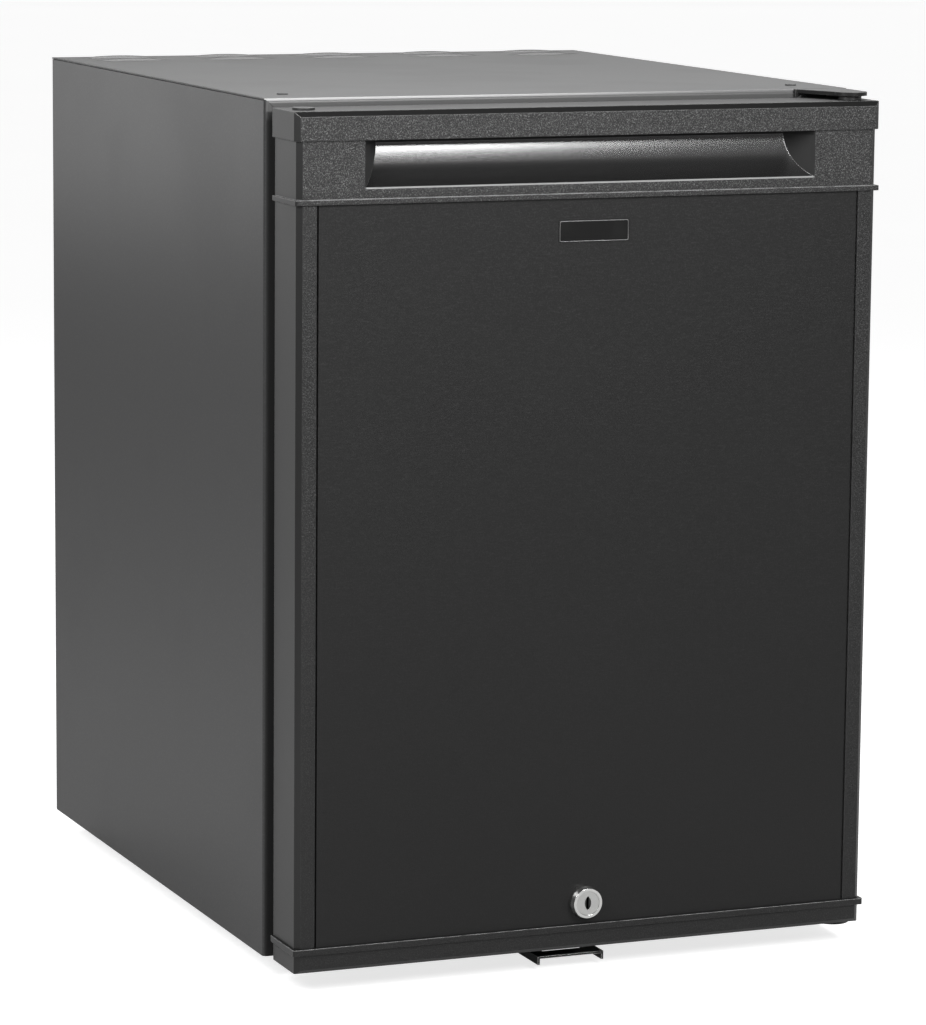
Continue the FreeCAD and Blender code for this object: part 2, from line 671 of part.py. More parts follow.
def feet():
    shapes = []
    for side in (-1, 1):
        for y in (CABINET_FRONT_Y + FOOT_FRONT_INSET, CABINET_REAR_Y - FOOT_REAR_INSET):
            centre = V(side * (HALF - FOOT_SIDE_INSET), y, 0)
            shapes.append(Part.makeCone(FOOT_BASE_RADIUS, FOOT_TOP_RADIUS, FOOT_HEIGHT, centre))
    return Part.makeCompound(shapes)


def hinge_plate(z0, z1):
    """Plate that reaches from the cabinet's front over the hinge pin."""
    radius = HINGE_PLATE_END_RADIUS
    wide = PIN_X - HINGE_FOOT_INNER
    outline = [(wide, CABINET_FRONT_Y), (PIN_X - radius, PIN_Y), (PIN_X + radius, PIN_Y),
               (PIN_X + radius, CABINET_FRONT_Y)]
    plate = prism("XY", outline, z0, z1)
    end = rod(radius, V(PIN_X, PIN_Y, z0), V(PIN_X, PIN_Y, z1))
    bore = rod(PIN_RADIUS, V(PIN_X, PIN_Y, z0 - OVERRUN), V(PIN_X, PIN_Y, z1 + OVERRUN))
    return join([plate, end]).cut(bore)


def hinge_leg(z0, z1, thickness):
    return box(PIN_X - HINGE_FOOT_INNER, PIN_X + HINGE_PLATE_END_RADIUS,
               CABINET_FRONT_Y - thickness, CABINET_FRONT_Y, z0, z1)


def upper_hinge_bracket():
    bracket = join([hinge_plate(UPPER_PLATE_Z, TOP_Z), hinge_leg(TOP_Z - HINGE_LEG, TOP_Z, HINGE_PLATE)])
    for seat, direction in hinge_screw_seats():
        bracket = bracket.cut(screw_hole(seat, direction))
    return bracket


def lower_hinge_bracket():
    low = LOWER_PLATE_TOP_Z - LOWER_HINGE_PLATE
    leg = hinge_leg(low, BOTTOM_Z + LOWER_HINGE_LEG, LOWER_HINGE_PLATE)
    bracket = join([hinge_plate(low, LOWER_PLATE_TOP_Z), leg])
    for seat, direction in hinge_screw_seats():
        bracket = bracket.cut(screw_hole(seat, direction))
    return bracket


def hinge_pins():
    upper = rod(PIN_RADIUS, V(PIN_X, PIN_Y, DOOR_TOP_Z - PIN_LENGTH), V(PIN_X, PIN_Y, TOP_Z))
    low = LOWER_PLATE_TOP_Z - LOWER_HINGE_PLATE
    lower = rod(PIN_RADIUS, V(PIN_X, PIN_Y, low), V(PIN_X, PIN_Y, DOOR_BOTTOM_Z + PIN_LENGTH))
    return Part.makeCompound([upper, lower])


def bush_radius():
    return PIN_RADIUS + PIN_FIT + BUSH_WALL


def bush_seat(z0, z1):
    return rod(bush_radius(), V(PIN_X, PIN_Y, z0), V(PIN_X, PIN_Y, z1))


def hinge_bushes():
    hole_radius = PIN_RADIUS + PIN_FIT
    flange_top = UPPER_PLATE_Z - BUSH_GAP
    deep = DOOR_TOP_Z - PIN_LENGTH - BUSH_GAP
    upper = join([bush_seat(deep, DOOR_TOP_Z),
                  rod(BUSH_FLANGE_RADIUS, V(PIN_X, PIN_Y, DOOR_TOP_Z), V(PIN_X, PIN_Y, flange_top))])
    upper = upper.cut(rod(hole_radius, V(PIN_X, PIN_Y, deep - OVERRUN), V(PIN_X, PIN_Y, TOP_Z)))
    flange_low = DOOR_BOTTOM_Z - LOWER_BUSH_FLANGE
    high = DOOR_BOTTOM_Z + PIN_LENGTH + BUSH_GAP
    lower = join([bush_seat(DOOR_BOTTOM_Z, high),
                  rod(BUSH_FLANGE_RADIUS, V(PIN_X, PIN_Y, flange_low), V(PIN_X, PIN_Y, DOOR_BOTTOM_Z))])
    under = V(PIN_X, PIN_Y, flange_low - OVERRUN)
    lower = lower.cut(rod(hole_radius, under, V(PIN_X, PIN_Y, high + OVERRUN)))
    return Part.makeCompound([upper, lower])


def hinge_hole_plug():
    low = V(-PIN_X, PIN_Y, DOOR_TOP_Z - PIN_LENGTH)
    seat = V(-PIN_X, PIN_Y, DOOR_TOP_Z)
    stem = rod(bush_radius(), low, seat)
    cap = rod(PLUG_CAP_RADIUS, seat, seat + V(0, 0, PLUG_CAP_HEIGHT))
    return join([stem, cap])


def door_top_cap():
    front = FRONT_Y - CAP_PROUD
    plan = bevelled_plan(CAP_HALF, front, DOOR_REAR_Y, EDGE_BEVEL)
    cap = prism("XY", plan, CAP_BOTTOM_Z, DOOR_TOP_Z)
    bevel = [(front - OVERRUN, DOOR_TOP_Z - EDGE_BEVEL - OVERRUN),
             (front + EDGE_BEVEL + OVERRUN, DOOR_TOP_Z + OVERRUN), (front - OVERRUN, DOOR_TOP_Z + OVERRUN)]
    cap = cap.cut(prism("YZ", bevel, -CAP_HALF - OVERRUN, CAP_HALF + OVERRUN))
    inner = CAP_HALF - CAP_WALL
    pocket = box(-inner, inner, front + CAP_WALL, DOOR_REAR_Y - CAP_WALL, CAP_BOTTOM_Z - OVERRUN,
                 DOOR_TOP_Z - CAP_WALL)
    cap = cap.cut(pocket)
    for x in (-PIN_X, PIN_X):
        boss = rod(CAP_BOSS_RADIUS, V(x, PIN_Y, CAP_BOTTOM_Z), V(x, PIN_Y, DOOR_TOP_Z - CAP_WALL / 2))
        deep = V(x, PIN_Y, DOOR_TOP_Z - PIN_LENGTH - BUSH_GAP)
        bore = rod(bush_radius(), deep, V(x, PIN_Y, DOOR_TOP_Z + OVERRUN))
        cap = join([cap, boss]).cut(bore)
    return cap


def handle_recess():
    """Finger scoop: an arc that rises from the front edge, closed by sloping ends."""
    bottom = CAP_BOTTOM_Z - RECESS_HEIGHT
    back = FRONT_Y + RECESS_DEPTH
    radius = (RECESS_DEPTH ** 2 + RECESS_HEIGHT ** 2) / (2 * RECESS_DEPTH)
    low = place("YZ", FRONT_Y, bottom, -RECESS_HALF_WIDTH)
    high = place("YZ", back, CAP_BOTTOM_Z, -RECESS_HALF_WIDTH)
    centre = place("YZ", back - radius, CAP_BOTTOM_Z, -RECESS_HALF_WIDTH)
    middle = centre + ((low - centre) + (high - centre)).normalize() * radius
    above = V(0, 0, OVERRUN)
    ahead = V(0, -OVERRUN, 0)
    corners = [high, high + above, low + ahead + V(0, 0, RECESS_HEIGHT) + above, low + ahead, low]
    edges = [Part.Arc(low, middle, high).toShape()]
    for first, second in zip(corners, corners[1:]):
        edges.append(Part.makeLine(first, second))
    scoop = Part.Face(Part.Wire(edges)).extrude(V(RECESS_HALF_WIDTH * 2, 0, 0))
    slope = RECESS_END_SLOPE / RECESS_DEPTH
    wide = RECESS_HALF_WIDTH + OVERRUN * slope
    narrow = RECESS_HALF_WIDTH - (RECESS_DEPTH + OVERRUN) * slope
    near = FRONT_Y - OVERRUN
    far = back + OVERRUN
    plan = [(-wide, near), (wide, near), (narrow, far), (-narrow, far)]
    return scoop.common(prism("XY", plan, bottom - OVERRUN, CAP_BOTTOM_Z + OVERRUN))


def rib(z0, z1):
    plan = bevelled_plan(CAP_HALF, FRONT_Y - RIB_PROUD, DOOR_REAR_Y, RIB_BEVEL)
    return prism("XY", plan, z0, z1)


def door_handle_rail():
    plan = bevelled_plan(DOOR_HALF, FRONT_Y, DOOR_REAR_Y, EDGE_BEVEL)
    rail = join([prism("XY", plan, RIB_TOP_Z, CAP_BOTTOM_Z), rib(RIB_BOTTOM_Z, RIB_TOP_Z)])
    rail = rail.cut(handle_recess())
    pocket = box(-LINER_HALF, LINER_HALF, HANDLE_POCKET_Y, DOOR_REAR_Y + OVERRUN, RIB_BOTTOM_Z - OVERRUN,
                 HANDLE_POCKET_Z)
    return rail.cut(pocket)


def door_left_stile():
    seat = PANEL_BACK_Y
    outer = -DOOR_HALF
    outline = [(outer, DOOR_REAR_Y), (outer, FRONT_Y + EDGE_BEVEL), (outer + EDGE_BEVEL, FRONT_Y),
               (outer + STILE_FACE, FRONT_Y), (outer + STILE_FACE, seat), (-SEAT_HALF, seat),
               (-SEAT_HALF, seat + STILE_WALL), (outer + STILE_WALL + EDGE_BEVEL, seat + STILE_WALL),
               (outer + STILE_WALL, seat + STILE_WALL + EDGE_BEVEL),
               (outer + STILE_WALL, DOOR_REAR_Y - STILE_WALL),
               (-LINER_HALF, DOOR_REAR_Y - STILE_WALL), (-LINER_HALF, DOOR_REAR_Y)]
    return prism("XY", outline, PANEL_BOTTOM_Z, RIB_BOTTOM_Z)


def pocket_box(grow):
    """Hollow around the lock's cam, grown on the sides, the back and the top."""
    sweep = CAM_REACH + POCKET_CLEARANCE
    side = LOCK_NUT_RADIUS + POCKET_CLEARANCE
    rear = CAM_REAR_Y + CAM_SCREW_HEIGHT + POCKET_REAR
    return box(-sweep - grow, side + grow, PANEL_BACK_Y, rear + grow, DOOR_BOTTOM_Z + TRIM_WALL,
               LOCK_Z + side + grow)


def lock_pocket():
    shell = pocket_box(POCKET_WALL).cut(pocket_box(0))
    front = pocket_box(POCKET_WALL).common(box(-HALF, HALF, PANEL_BACK_Y, PANEL_BACK_Y + POCKET_WALL,
                                               PANEL_BOTTOM_Z, TOP_Z))
    shell = join([shell, front])
    trim_front = FRONT_Y + TRIM_WALL
    shell = shell.cut(box(-HALF, HALF, PANEL_BACK_Y - OVERRUN, trim_front, BOTTOM_Z, PANEL_BOTTOM_Z))
    return shell.cut(lock_bore(LOCK_BARREL_RADIUS + FIT))


def lock_bore(radius):
    return rod(radius, V(0, LOCK_FRONT_Y - OVERRUN, LOCK_Z), V(0, LOCK_REAR_Y + OVERRUN, LOCK_Z))


def cam_slot(depth, z0, z1):
    """Slot for the turning cam in a plate that lies at a depth below the lock."""
    left = math.sqrt(CAM_REACH ** 2 - depth ** 2) + CAM_SLOT_CLEARANCE
    right = CAM_WIDTH / 2 + CAM_SLOT_CLEARANCE
    return box(-left, right, LOCK_REAR_Y - CAM_SLOT_CLEARANCE, CAM_REAR_Y + CAM_SLOT_CLEARANCE, z0, z1)


def door_bottom_rail():
    plan = bevelled_plan(DOOR_HALF, FRONT_Y, DOOR_REAR_Y, EDGE_BEVEL)
    rail = prism("XY", plan, DOOR_BOTTOM_Z, BOTTOM_RIB_Z)
    under = DOOR_BOTTOM_Z - OVERRUN
    bevel = [(FRONT_Y - OVERRUN, DOOR_BOTTOM_Z + BOTTOM_BEVEL + OVERRUN),
             (FRONT_Y + BOTTOM_BEVEL + OVERRUN, under), (FRONT_Y - OVERRUN, under)]
    rail = rail.cut(prism("YZ", bevel, -CAP_HALF, CAP_HALF))
    rail = join([rail, rib(BOTTOM_RIB_Z, PANEL_BOTTOM_Z)])
    inner = DOOR_HALF - TRIM_WALL
    rail = rail.cut(box(-inner, inner, FRONT_Y + TRIM_WALL, DOOR_REAR_Y - TRIM_WALL,
                        DOOR_BOTTOM_Z + TRIM_WALL, PANEL_BOTTOM_Z + OVERRUN))
    boss_top = PANEL_BOTTOM_Z
    boss = rod(CAP_BOSS_RADIUS, V(PIN_X, PIN_Y, DOOR_BOTTOM_Z), V(PIN_X, PIN_Y, boss_top))
    rail = join([rail, boss]).cut(bush_seat(DOOR_BOTTOM_Z - OVERRUN, boss_top + OVERRUN))
    return rail.cut(cam_slot(LOCK_HEIGHT - TRIM_WALL, DOOR_BOTTOM_Z - OVERRUN, PANEL_BOTTOM_Z))


def door_panel():
    panel = box(-PANEL_HALF, PANEL_HALF, PANEL_FRONT_Y, PANEL_BACK_Y, PANEL_BOTTOM_Z, RIB_BOTTOM_Z)
    return panel.cut(lock_bore(LOCK_BARREL_RADIUS + FIT))


def badge_plate():
    top = RIB_BOTTOM_Z - BADGE_DROP + BADGE_HEIGHT
    return box(-BADGE_WIDTH / 2, BADGE_WIDTH / 2, PANEL_FRONT_Y - BADGE_THICKNESS, PANEL_FRONT_Y,
               top - BADGE_HEIGHT, top)


def dyke_box(grow):
    """Room inside one upright ridge of the door's inner side, seen from its right half."""
    inner = DYKE_HALF_SPAN - DYKE_WIDTH
    return box(inner - grow, DYKE_HALF_SPAN + grow, LINER_FRONT_Y, DOOR_REAR_Y + DYKE_DEPTH + grow,
               PANEL_BOTTOM_Z + DYKE_END_INSET - grow, CAP_BOTTOM_Z - DYKE_END_INSET / 2 + grow)


def door_foam():
    web = DOOR_HALF - STILE_WALL
    front = PANEL_BACK_Y + STILE_WALL
    core = box(-web, web, front + EDGE_BEVEL, DOOR_REAR_Y - STILE_WALL, PANEL_BOTTOM_Z, RIB_BOTTOM_Z)
    bevel_half = web - EDGE_BEVEL
    face = box(-bevel_half, bevel_half, front, front + EDGE_BEVEL, PANEL_BOTTOM_Z, RIB_BOTTOM_Z)
    skin = box(-SEAT_HALF, SEAT_HALF, PANEL_BACK_Y, front, PANEL_BOTTOM_Z, RIB_BOTTOM_Z)
    back = box(-LINER_HALF, LINER_HALF, DOOR_REAR_Y - STILE_WALL - OVERRUN, LINER_FRONT_Y, PANEL_BOTTOM_Z,
               RIB_BOTTOM_Z)
    head = box(-LINER_HALF, LINER_HALF, HANDLE_POCKET_Y, LINER_FRONT_Y, RIB_BOTTOM_Z, HANDLE_POCKET_Z)
    inner = DOOR_HALF - TRIM_WALL
    foot = box(-inner, inner, FRONT_Y + TRIM_WALL, DOOR_REAR_Y - TRIM_WALL,
               DOOR_BOTTOM_Z + TRIM_WALL, PANEL_BOTTOM_Z)
    fill = dyke_box(-LINER_WALL)
    foam = join([core, face, skin, back, head, foot, fill, mirrored(fill)])
    foam = foam.cut(pocket_box(POCKET_WALL))
    boss = rod(CAP_BOSS_RADIUS, V(PIN_X, PIN_Y, BOTTOM_Z), V(PIN_X, PIN_Y, PANEL_BOTTOM_Z))
    return foam.cut(boss)


def bin_shelf_level(share):
    return CAVITY_FLOOR_Z + CAVITY_HEIGHT * share


def lug_top(share, height):
    return bin_shelf_level(share) + height - HOOK_THICKNESS


def door_inner_liner():
    sheet = box(-LINER_HALF, LINER_HALF, LINER_FRONT_Y, DOOR_REAR_Y, PANEL_BOTTOM_Z, HANDLE_POCKET_Z)
    ridge = dyke_box(0)
    hollow = dyke_box(-LINER_WALL)
    liner = join([sheet, ridge, mirrored(ridge)]).cut(hollow).cut(mirrored(hollow))
    inner = DYKE_HALF_SPAN - DYKE_WIDTH
    y0 = DOOR_REAR_Y + LUG_FROM_DOOR
    for share, height in zip(BIN_LEVEL_SHARES, BIN_HEIGHTS):
        top = lug_top(share, height)
        lug = box(inner - LUG_REACH, inner + LINER_WALL / 2, y0, y0 + LUG_LENGTH, top - LUG_HEIGHT, top)
        liner = join([liner, lug, mirrored(lug)])
    return liner


def door_bin(share, height):
    floor = bin_shelf_level(share)
    outer = DYKE_HALF_SPAN - DYKE_WIDTH - LUG_REACH - BIN_SIDE_GAP
    y0 = DOOR_REAR_Y + BIN_DOOR_GAP
    y1 = DOOR_REAR_Y + BIN_DEPTH
    tray = box(-outer, outer, y0, y1, floor, floor + height)
    upright = [edge for edge in tray.Edges
               if edge.BoundBox.ZLength > height / 2 and edge.CenterOfMass.y > y0 + BIN_WALL]
    tray = tray.makeFillet(BIN_CORNER, upright)
    hollow = box(-outer + BIN_WALL, outer - BIN_WALL, y0 + BIN_WALL, y1 - BIN_WALL, floor + BIN_WALL,
                 floor + height + OVERRUN)
    upright = [edge for edge in hollow.Edges
               if edge.BoundBox.ZLength > height / 2 and edge.CenterOfMass.y > y0 + BIN_WALL * 2]
    hollow = hollow.makeFillet(BIN_CORNER - BIN_WALL, upright)
    tray = tray.cut(hollow)
    top = floor + height
    inner = DYKE_HALF_SPAN - DYKE_WIDTH - HOOK_FIT
    lug_y = DOOR_REAR_Y + LUG_FROM_DOOR
    hook_front = lug_y - HOOK_FIT - HOOK_THICKNESS
    hook_rear = lug_y + LUG_LENGTH + HOOK_FIT + HOOK_THICKNESS
    shapes = [tray]
    bar = box(outer - BIN_WALL / 2, inner, hook_front, hook_rear, top - HOOK_THICKNESS, top)
    low = top - HOOK_THICKNESS - HOOK_DROP
    shapes += [bar, mirrored(bar)]
    for y in (hook_front, hook_rear - HOOK_THICKNESS):
        lip = box(outer - BIN_WALL / 2, inner, y, y + HOOK_THICKNESS, low, top)
        shapes += [lip, mirrored(lip)]
    return join(shapes)


def gasket_layers():
    """Depths at which the seal's base, neck and magnet sleeve meet."""
    base = DOOR_REAR_Y + GASKET_BASE
    neck = base + GASKET_NECK
    return base, neck, CABINET_FRONT_Y - GASKET_CLEARANCE


def gasket_ring(width, y0, y1):
    inset = (GASKET_WIDTH - width) / 2
    return frame_ring(DOOR_HALF - GASKET_SIDE_INSET - inset, DOOR_BOTTOM_Z + GASKET_END_INSET + inset,
                      DOOR_TOP_Z - GASKET_END_INSET - inset, width, y0, y1)


def magnet_depths():
    base, neck, tip = gasket_layers()
    middle = (neck + tip) / 2
    return middle - MAGNET_THICKNESS / 2, middle + MAGNET_THICKNESS / 2


def door_gasket():
    base, neck, tip = gasket_layers()
    seal = join([gasket_ring(GASKET_WIDTH, DOOR_REAR_Y, base), gasket_ring(GASKET_NECK_WIDTH, base, neck),
                 gasket_ring(GASKET_WIDTH, neck, tip)])
    y0, y1 = magnet_depths()
    return seal.cut(gasket_ring(MAGNET_WIDTH, y0, y1))


def gasket_magnets():
    y0, y1 = magnet_depths()
    ring = gasket_ring(MAGNET_WIDTH, y0, y1)
    inset = (GASKET_WIDTH - MAGNET_WIDTH) / 2
    x = DOOR_HALF - GASKET_SIDE_INSET - inset - MAGNET_WIDTH
    low = DOOR_BOTTOM_Z + GASKET_END_INSET + inset + MAGNET_WIDTH
    high = DOOR_TOP_Z - GASKET_END_INSET - inset - MAGNET_WIDTH
    for side in (-1, 1):
        near = side * (x - MAGNET_CORNER_GAP)
        far = side * x
        gap = box(min(near, far), max(near, far), y0, y1, DOOR_BOTTOM_Z, low)
        ring = ring.cut(gap)
        ring = ring.cut(box(min(near, far), max(near, far), y0, y1, high, DOOR_TOP_Z))
    return Part.makeCompound(ring.Solids)


def lock_body():
    bevel_y = LOCK_FRONT_Y + LOCK_HEAD_BEVEL
    head = rod(LOCK_HEAD_RADIUS, V(0, bevel_y, LOCK_Z), V(0, PANEL_FRONT_Y, LOCK_Z))
    nose = Part.makeCone(LOCK_HEAD_RADIUS - LOCK_HEAD_BEVEL / 2, LOCK_HEAD_RADIUS, LOCK_HEAD_BEVEL,
                         V(0, LOCK_FRONT_Y, LOCK_Z), V(0, 1, 0))
    barrel = rod(LOCK_BARREL_RADIUS, V(0, PANEL_FRONT_Y, LOCK_Z), V(0, LOCK_REAR_Y, LOCK_Z))
    body = join([head, nose, barrel])
    body = body.cut(lock_bore(LOCK_PLUG_RADIUS + LOCK_RUN_FIT))
    face_end = LOCK_FRONT_Y + LOCK_FACE_THICKNESS
    face = rod(LOCK_FACE_RADIUS + LOCK_RUN_FIT, V(0, LOCK_FRONT_Y - OVERRUN, LOCK_Z), V(0, face_end, LOCK_Z))
    return body.cut(face)


def lock_nut():
    start = PANEL_BACK_Y + POCKET_WALL
    points = []
    for i in range(6):
        angle = math.radians(60 * i)
        points.append((LOCK_NUT_RADIUS * math.cos(angle), LOCK_Z + LOCK_NUT_RADIUS * math.sin(angle)))
    nut = prism("XZ", points, start, start + LOCK_NUT_THICKNESS)
    return nut.cut(lock_bore(LOCK_BARREL_RADIUS))


def lock_plug():
    face_front = LOCK_FRONT_Y + LOCK_FACE_PROUD
    face_end = LOCK_FRONT_Y + LOCK_FACE_THICKNESS
    face = rod(LOCK_FACE_RADIUS, V(0, face_front, LOCK_Z), V(0, face_end, LOCK_Z))
    shaft = rod(LOCK_PLUG_RADIUS, V(0, face_end, LOCK_Z), V(0, LOCK_REAR_Y, LOCK_Z))
    plug = join([face, shaft])
    shift = (LOCK_EYE_RADIUS ** 2 - LOCK_EYE_HALF_WIDTH ** 2) / (2 * LOCK_EYE_HALF_WIDTH)
    arc_radius = shift + LOCK_EYE_HALF_WIDTH
    deep = V(0, face_front + LOCK_EYE_DEPTH, LOCK_Z)
    ahead = V(0, face_front - OVERRUN, LOCK_Z)
    left = rod(arc_radius, ahead - V(shift, 0, 0), deep - V(shift, 0, 0))
    right = rod(arc_radius, ahead + V(shift, 0, 0), deep + V(shift, 0, 0))
    keyway = box(-KEYWAY_WIDTH / 2, KEYWAY_WIDTH / 2, face_front - OVERRUN, face_front + KEYWAY_DEPTH,
                 LOCK_Z - KEYWAY_LENGTH / 2, LOCK_Z + KEYWAY_LENGTH / 2)
    return plug.cut(left.common(right)).cut(keyway)


def lock_cam():
    hub = rod(CAM_WIDTH / 2, V(0, LOCK_REAR_Y, LOCK_Z), V(0, CAM_REAR_Y, LOCK_Z))
    arm = box(-CAM_LENGTH, 0, LOCK_REAR_Y, CAM_REAR_Y, LOCK_Z - CAM_WIDTH / 2, LOCK_Z + CAM_WIDTH / 2)
    return join([hub, arm])


def cam_screw():
    points = []
    for i in range(6):
        angle = math.radians(60 * i)
        points.append((CAM_SCREW_RADIUS * math.cos(angle), LOCK_Z + CAM_SCREW_RADIUS * math.sin(angle)))
    return prism("XZ", points, CAM_REAR_Y, CAM_REAR_Y + CAM_SCREW_HEIGHT)


def lock_keeper():
    top = BOTTOM_Z - KEEPER_DROP
    step = CABINET_FRONT_Y + KEEPER_STEP_INSET
    outline = [(FRONT_Y + KEEPER_FRONT_INSET, top), (step - KEEPER_DROP, top), (step, BOTTOM_Z),
               (step + KEEPER_TAB_LENGTH, BOTTOM_Z)]
    plate = bent_sheet("YZ", outline[::-1], KEEPER_SHEET * 2, KEEPER_SHEET, -KEEPER_LEFT, KEEPER_RIGHT)
    lip_low = top - KEEPER_SHEET - KEEPER_LIP
    shapes = [plate]
    for x in (-KEEPER_LEFT, KEEPER_RIGHT - KEEPER_SHEET):
        shapes.append(box(x, x + KEEPER_SHEET, FRONT_Y + KEEPER_FRONT_INSET, step - KEEPER_DROP * 2,
                          lip_low, top))
    keeper = join(shapes)
    depth = LOCK_Z - top
    keeper = keeper.cut(cam_slot(depth, lip_low - OVERRUN, BOTTOM_Z))
    for seat, direction in keeper_screw_seats():
        keeper = keeper.cut(screw_hole(seat, direction))
    return keeper


def wire_shelf(share):
    level = shelf_level(share) + SHELF_FRAME_RADIUS
    half = CAVITY_HALF - SHELF_SIDE_CLEARANCE - SHELF_FRAME_RADIUS
    front = CABINET_FRONT_Y + SHELF_FRONT_INSET + SHELF_FRAME_RADIUS
    rear = CAVITY_REAR_Y - SHELF_REAR_INSET - SHELF_FRAME_RADIUS
    points = [V(0, rear, level), V(half, rear, level), V(half, front, level), V(-half, front, level),
              V(-half, rear, level), V(0, rear, level)]
    spine = Part.Wire(path_edges(points, [SHELF_CORNER] * 4))
    section = Part.Wire(Part.makeCircle(SHELF_FRAME_RADIUS, points[0], V(1, 0, 0)))
    shapes = [spine.makePipeShell([section], True, True)]
    height = level + SHELF_FRAME_RADIUS + SHELF_WIRE_RADIUS - WELD_SINK
    span = (half - SHELF_CORNER) * 2
    for i in range(SHELF_WIRE_COUNT):
        x = span * (i / (SHELF_WIRE_COUNT - 1) - 1 / 2)
        shapes.append(rod(SHELF_WIRE_RADIUS, V(x, front - SHELF_FRAME_RADIUS, height),
                          V(x, rear + SHELF_FRAME_RADIUS, height)))
    return join(shapes)


def evaporator_screw_seats():
    seats = []
    front = EVAPORATOR_BACK_Y - EVAPORATOR_BASE
    pitch = EVAPORATOR_WIDTH / (EVAPORATOR_FIN_COUNT - 1)
    x = pitch * (math.floor(EVAPORATOR_FIN_COUNT / 2) - 1 / 2)
    z = EVAPORATOR_HEIGHT / 2 * EVAPORATOR_SCREW_INSET_SHARE
    for side in (-1, 1):
        for up in (-1, 1):
            seats.append((V(side * x, front, EVAPORATOR_Z + up * z), V(0, -1, 0)))
    return seats


def evaporator_fins():
    half = EVAPORATOR_WIDTH / 2
    low = EVAPORATOR_Z - EVAPORATOR_HEIGHT / 2
    front = EVAPORATOR_BACK_Y - EVAPORATOR_BASE
    thick = EVAPORATOR_FIN_THICKNESS / 2
    shapes = [box(-half - thick, half + thick, front, EVAPORATOR_BACK_Y, low, EVAPORATOR_TOP_Z)]
    for i in range(EVAPORATOR_FIN_COUNT):
        x = EVAPORATOR_WIDTH * (i / (EVAPORATOR_FIN_COUNT - 1) - 1 / 2)
        shapes.append(box(x - thick, x + thick, front - EVAPORATOR_FIN_DEPTH, front, low, EVAPORATOR_TOP_Z))
    for seat, direction in evaporator_screw_seats():
        start = V(seat.x, EVAPORATOR_BACK_Y, seat.z)
        shapes.append(rod(STANDOFF_RADIUS, start, V(seat.x, CAVITY_REAR_Y, seat.z)))
    plate = join(shapes)
    for seat, direction in evaporator_screw_seats():
        plate = plate.cut(screw_hole(seat, direction))
    return plate


def evaporator_path():
    bore = EVAPORATOR_BORE_HALF_SPAN
    return [V(bore - JOINT_BEFORE_BEND, TUBE_Y, CONDENSER_LOW_Z), V(bore, TUBE_Y, CONDENSER_LOW_Z),
            V(bore, TUBE_Y, EVAPORATOR_Z), V(bore, EVAPORATOR_TUBE_Y, EVAPORATOR_Z),
            V(-bore, EVAPORATOR_TUBE_Y, EVAPORATOR_Z), V(-bore, TUBE_Y, EVAPORATOR_Z),
            V(-EVAPORATOR_RISER_X, TUBE_Y, EVAPORATOR_Z),
            V(-EVAPORATOR_RISER_X, TUBE_Y, EVAPORATOR_Z - RISER_JOINT_DROP)]


def evaporator_tube():
    return tube(evaporator_path(), TUBE_BEND, TUBE_RADIUS)


def evaporator_plug():
    low = EVAPORATOR_Z - PLUG_HEIGHT / 2 + FIT
    high = EVAPORATOR_Z + PLUG_HEIGHT / 2 - FIT
    plug = box(-PLUG_HALF + FIT, PLUG_HALF - FIT, CAVITY_REAR_Y, REAR_PANEL_Y, low, high)
    for x in (-EVAPORATOR_BORE_HALF_SPAN, EVAPORATOR_BORE_HALF_SPAN):
        start = V(x, CAVITY_REAR_Y - OVERRUN, EVAPORATOR_Z)
        plug = plug.cut(rod(TUBE_RADIUS, start, V(x, REAR_PANEL_Y + OVERRUN, EVAPORATOR_Z)))
    return plug.cut(evaporator_tube())


def condenser_path():
    return [V(BOILER_X, TUBE_Y, BOILER_Z + BOILER_HEIGHT), V(BOILER_X, TUBE_Y, CONDENSER_Z),
            V(-CONDENSER_LEFT, TUBE_Y, CONDENSER_Z), V(-CONDENSER_LEFT, TUBE_Y, CONDENSER_LOW_Z),
            V(EVAPORATOR_BORE_HALF_SPAN - JOINT_BEFORE_BEND, TUBE_Y, CONDENSER_LOW_Z)]


def condenser_tube():
    return tube(condenser_path(), TUBE_BEND, TUBE_RADIUS)


def condenser_fins():
    low = CONDENSER_LOW_Z - CONDENSER_FIN_MARGIN
    high = CONDENSER_Z + CONDENSER_FIN_MARGIN
    half = CONDENSER_FIN_DEPTH / 2
    start = TUBE_BEND + CONDENSER_FIN_MARGIN / 2 - CONDENSER_LEFT
    limit = EVAPORATOR_BORE_HALF_SPAN - JOINT_BEFORE_BEND
    shapes = []
    for i in range(CONDENSER_FIN_COUNT):
        x = start + i * CONDENSER_FIN_PITCH
        bottom = low if x + CONDENSER_FIN_THICKNESS < limit else CONDENSER_LOW_Z + CONDENSER_FIN_MARGIN / 2
        fin = box(x, x + CONDENSER_FIN_THICKNESS, TUBE_Y - half, TUBE_Y + half, bottom, high)
        for z in (CONDENSER_Z, CONDENSER_LOW_Z):
            fin = fin.cut(rod(TUBE_RADIUS, V(x - OVERRUN, TUBE_Y, z), V(x + OVERRUN, TUBE_Y, z)))
        shapes.append(fin)
    return Part.makeCompound(shapes)


def boiler_jacket():
    jacket = rod(BOILER_RADIUS, V(BOILER_X, TUBE_Y, BOILER_Z), V(BOILER_X, TUBE_Y, BOILER_Z + BOILER_HEIGHT))
    z = BOILER_Z + HEATER_RISE
    edge = BOILER_X - math.sqrt(BOILER_RADIUS ** 2 - HEATER_RADIUS ** 2)
    return jacket.cut(rod(HEATER_RADIUS, V(BOILER_X - BOILER_RADIUS - OVERRUN, TUBE_Y, z),
                          V(edge + HEATER_INSIDE, TUBE_Y, z)))


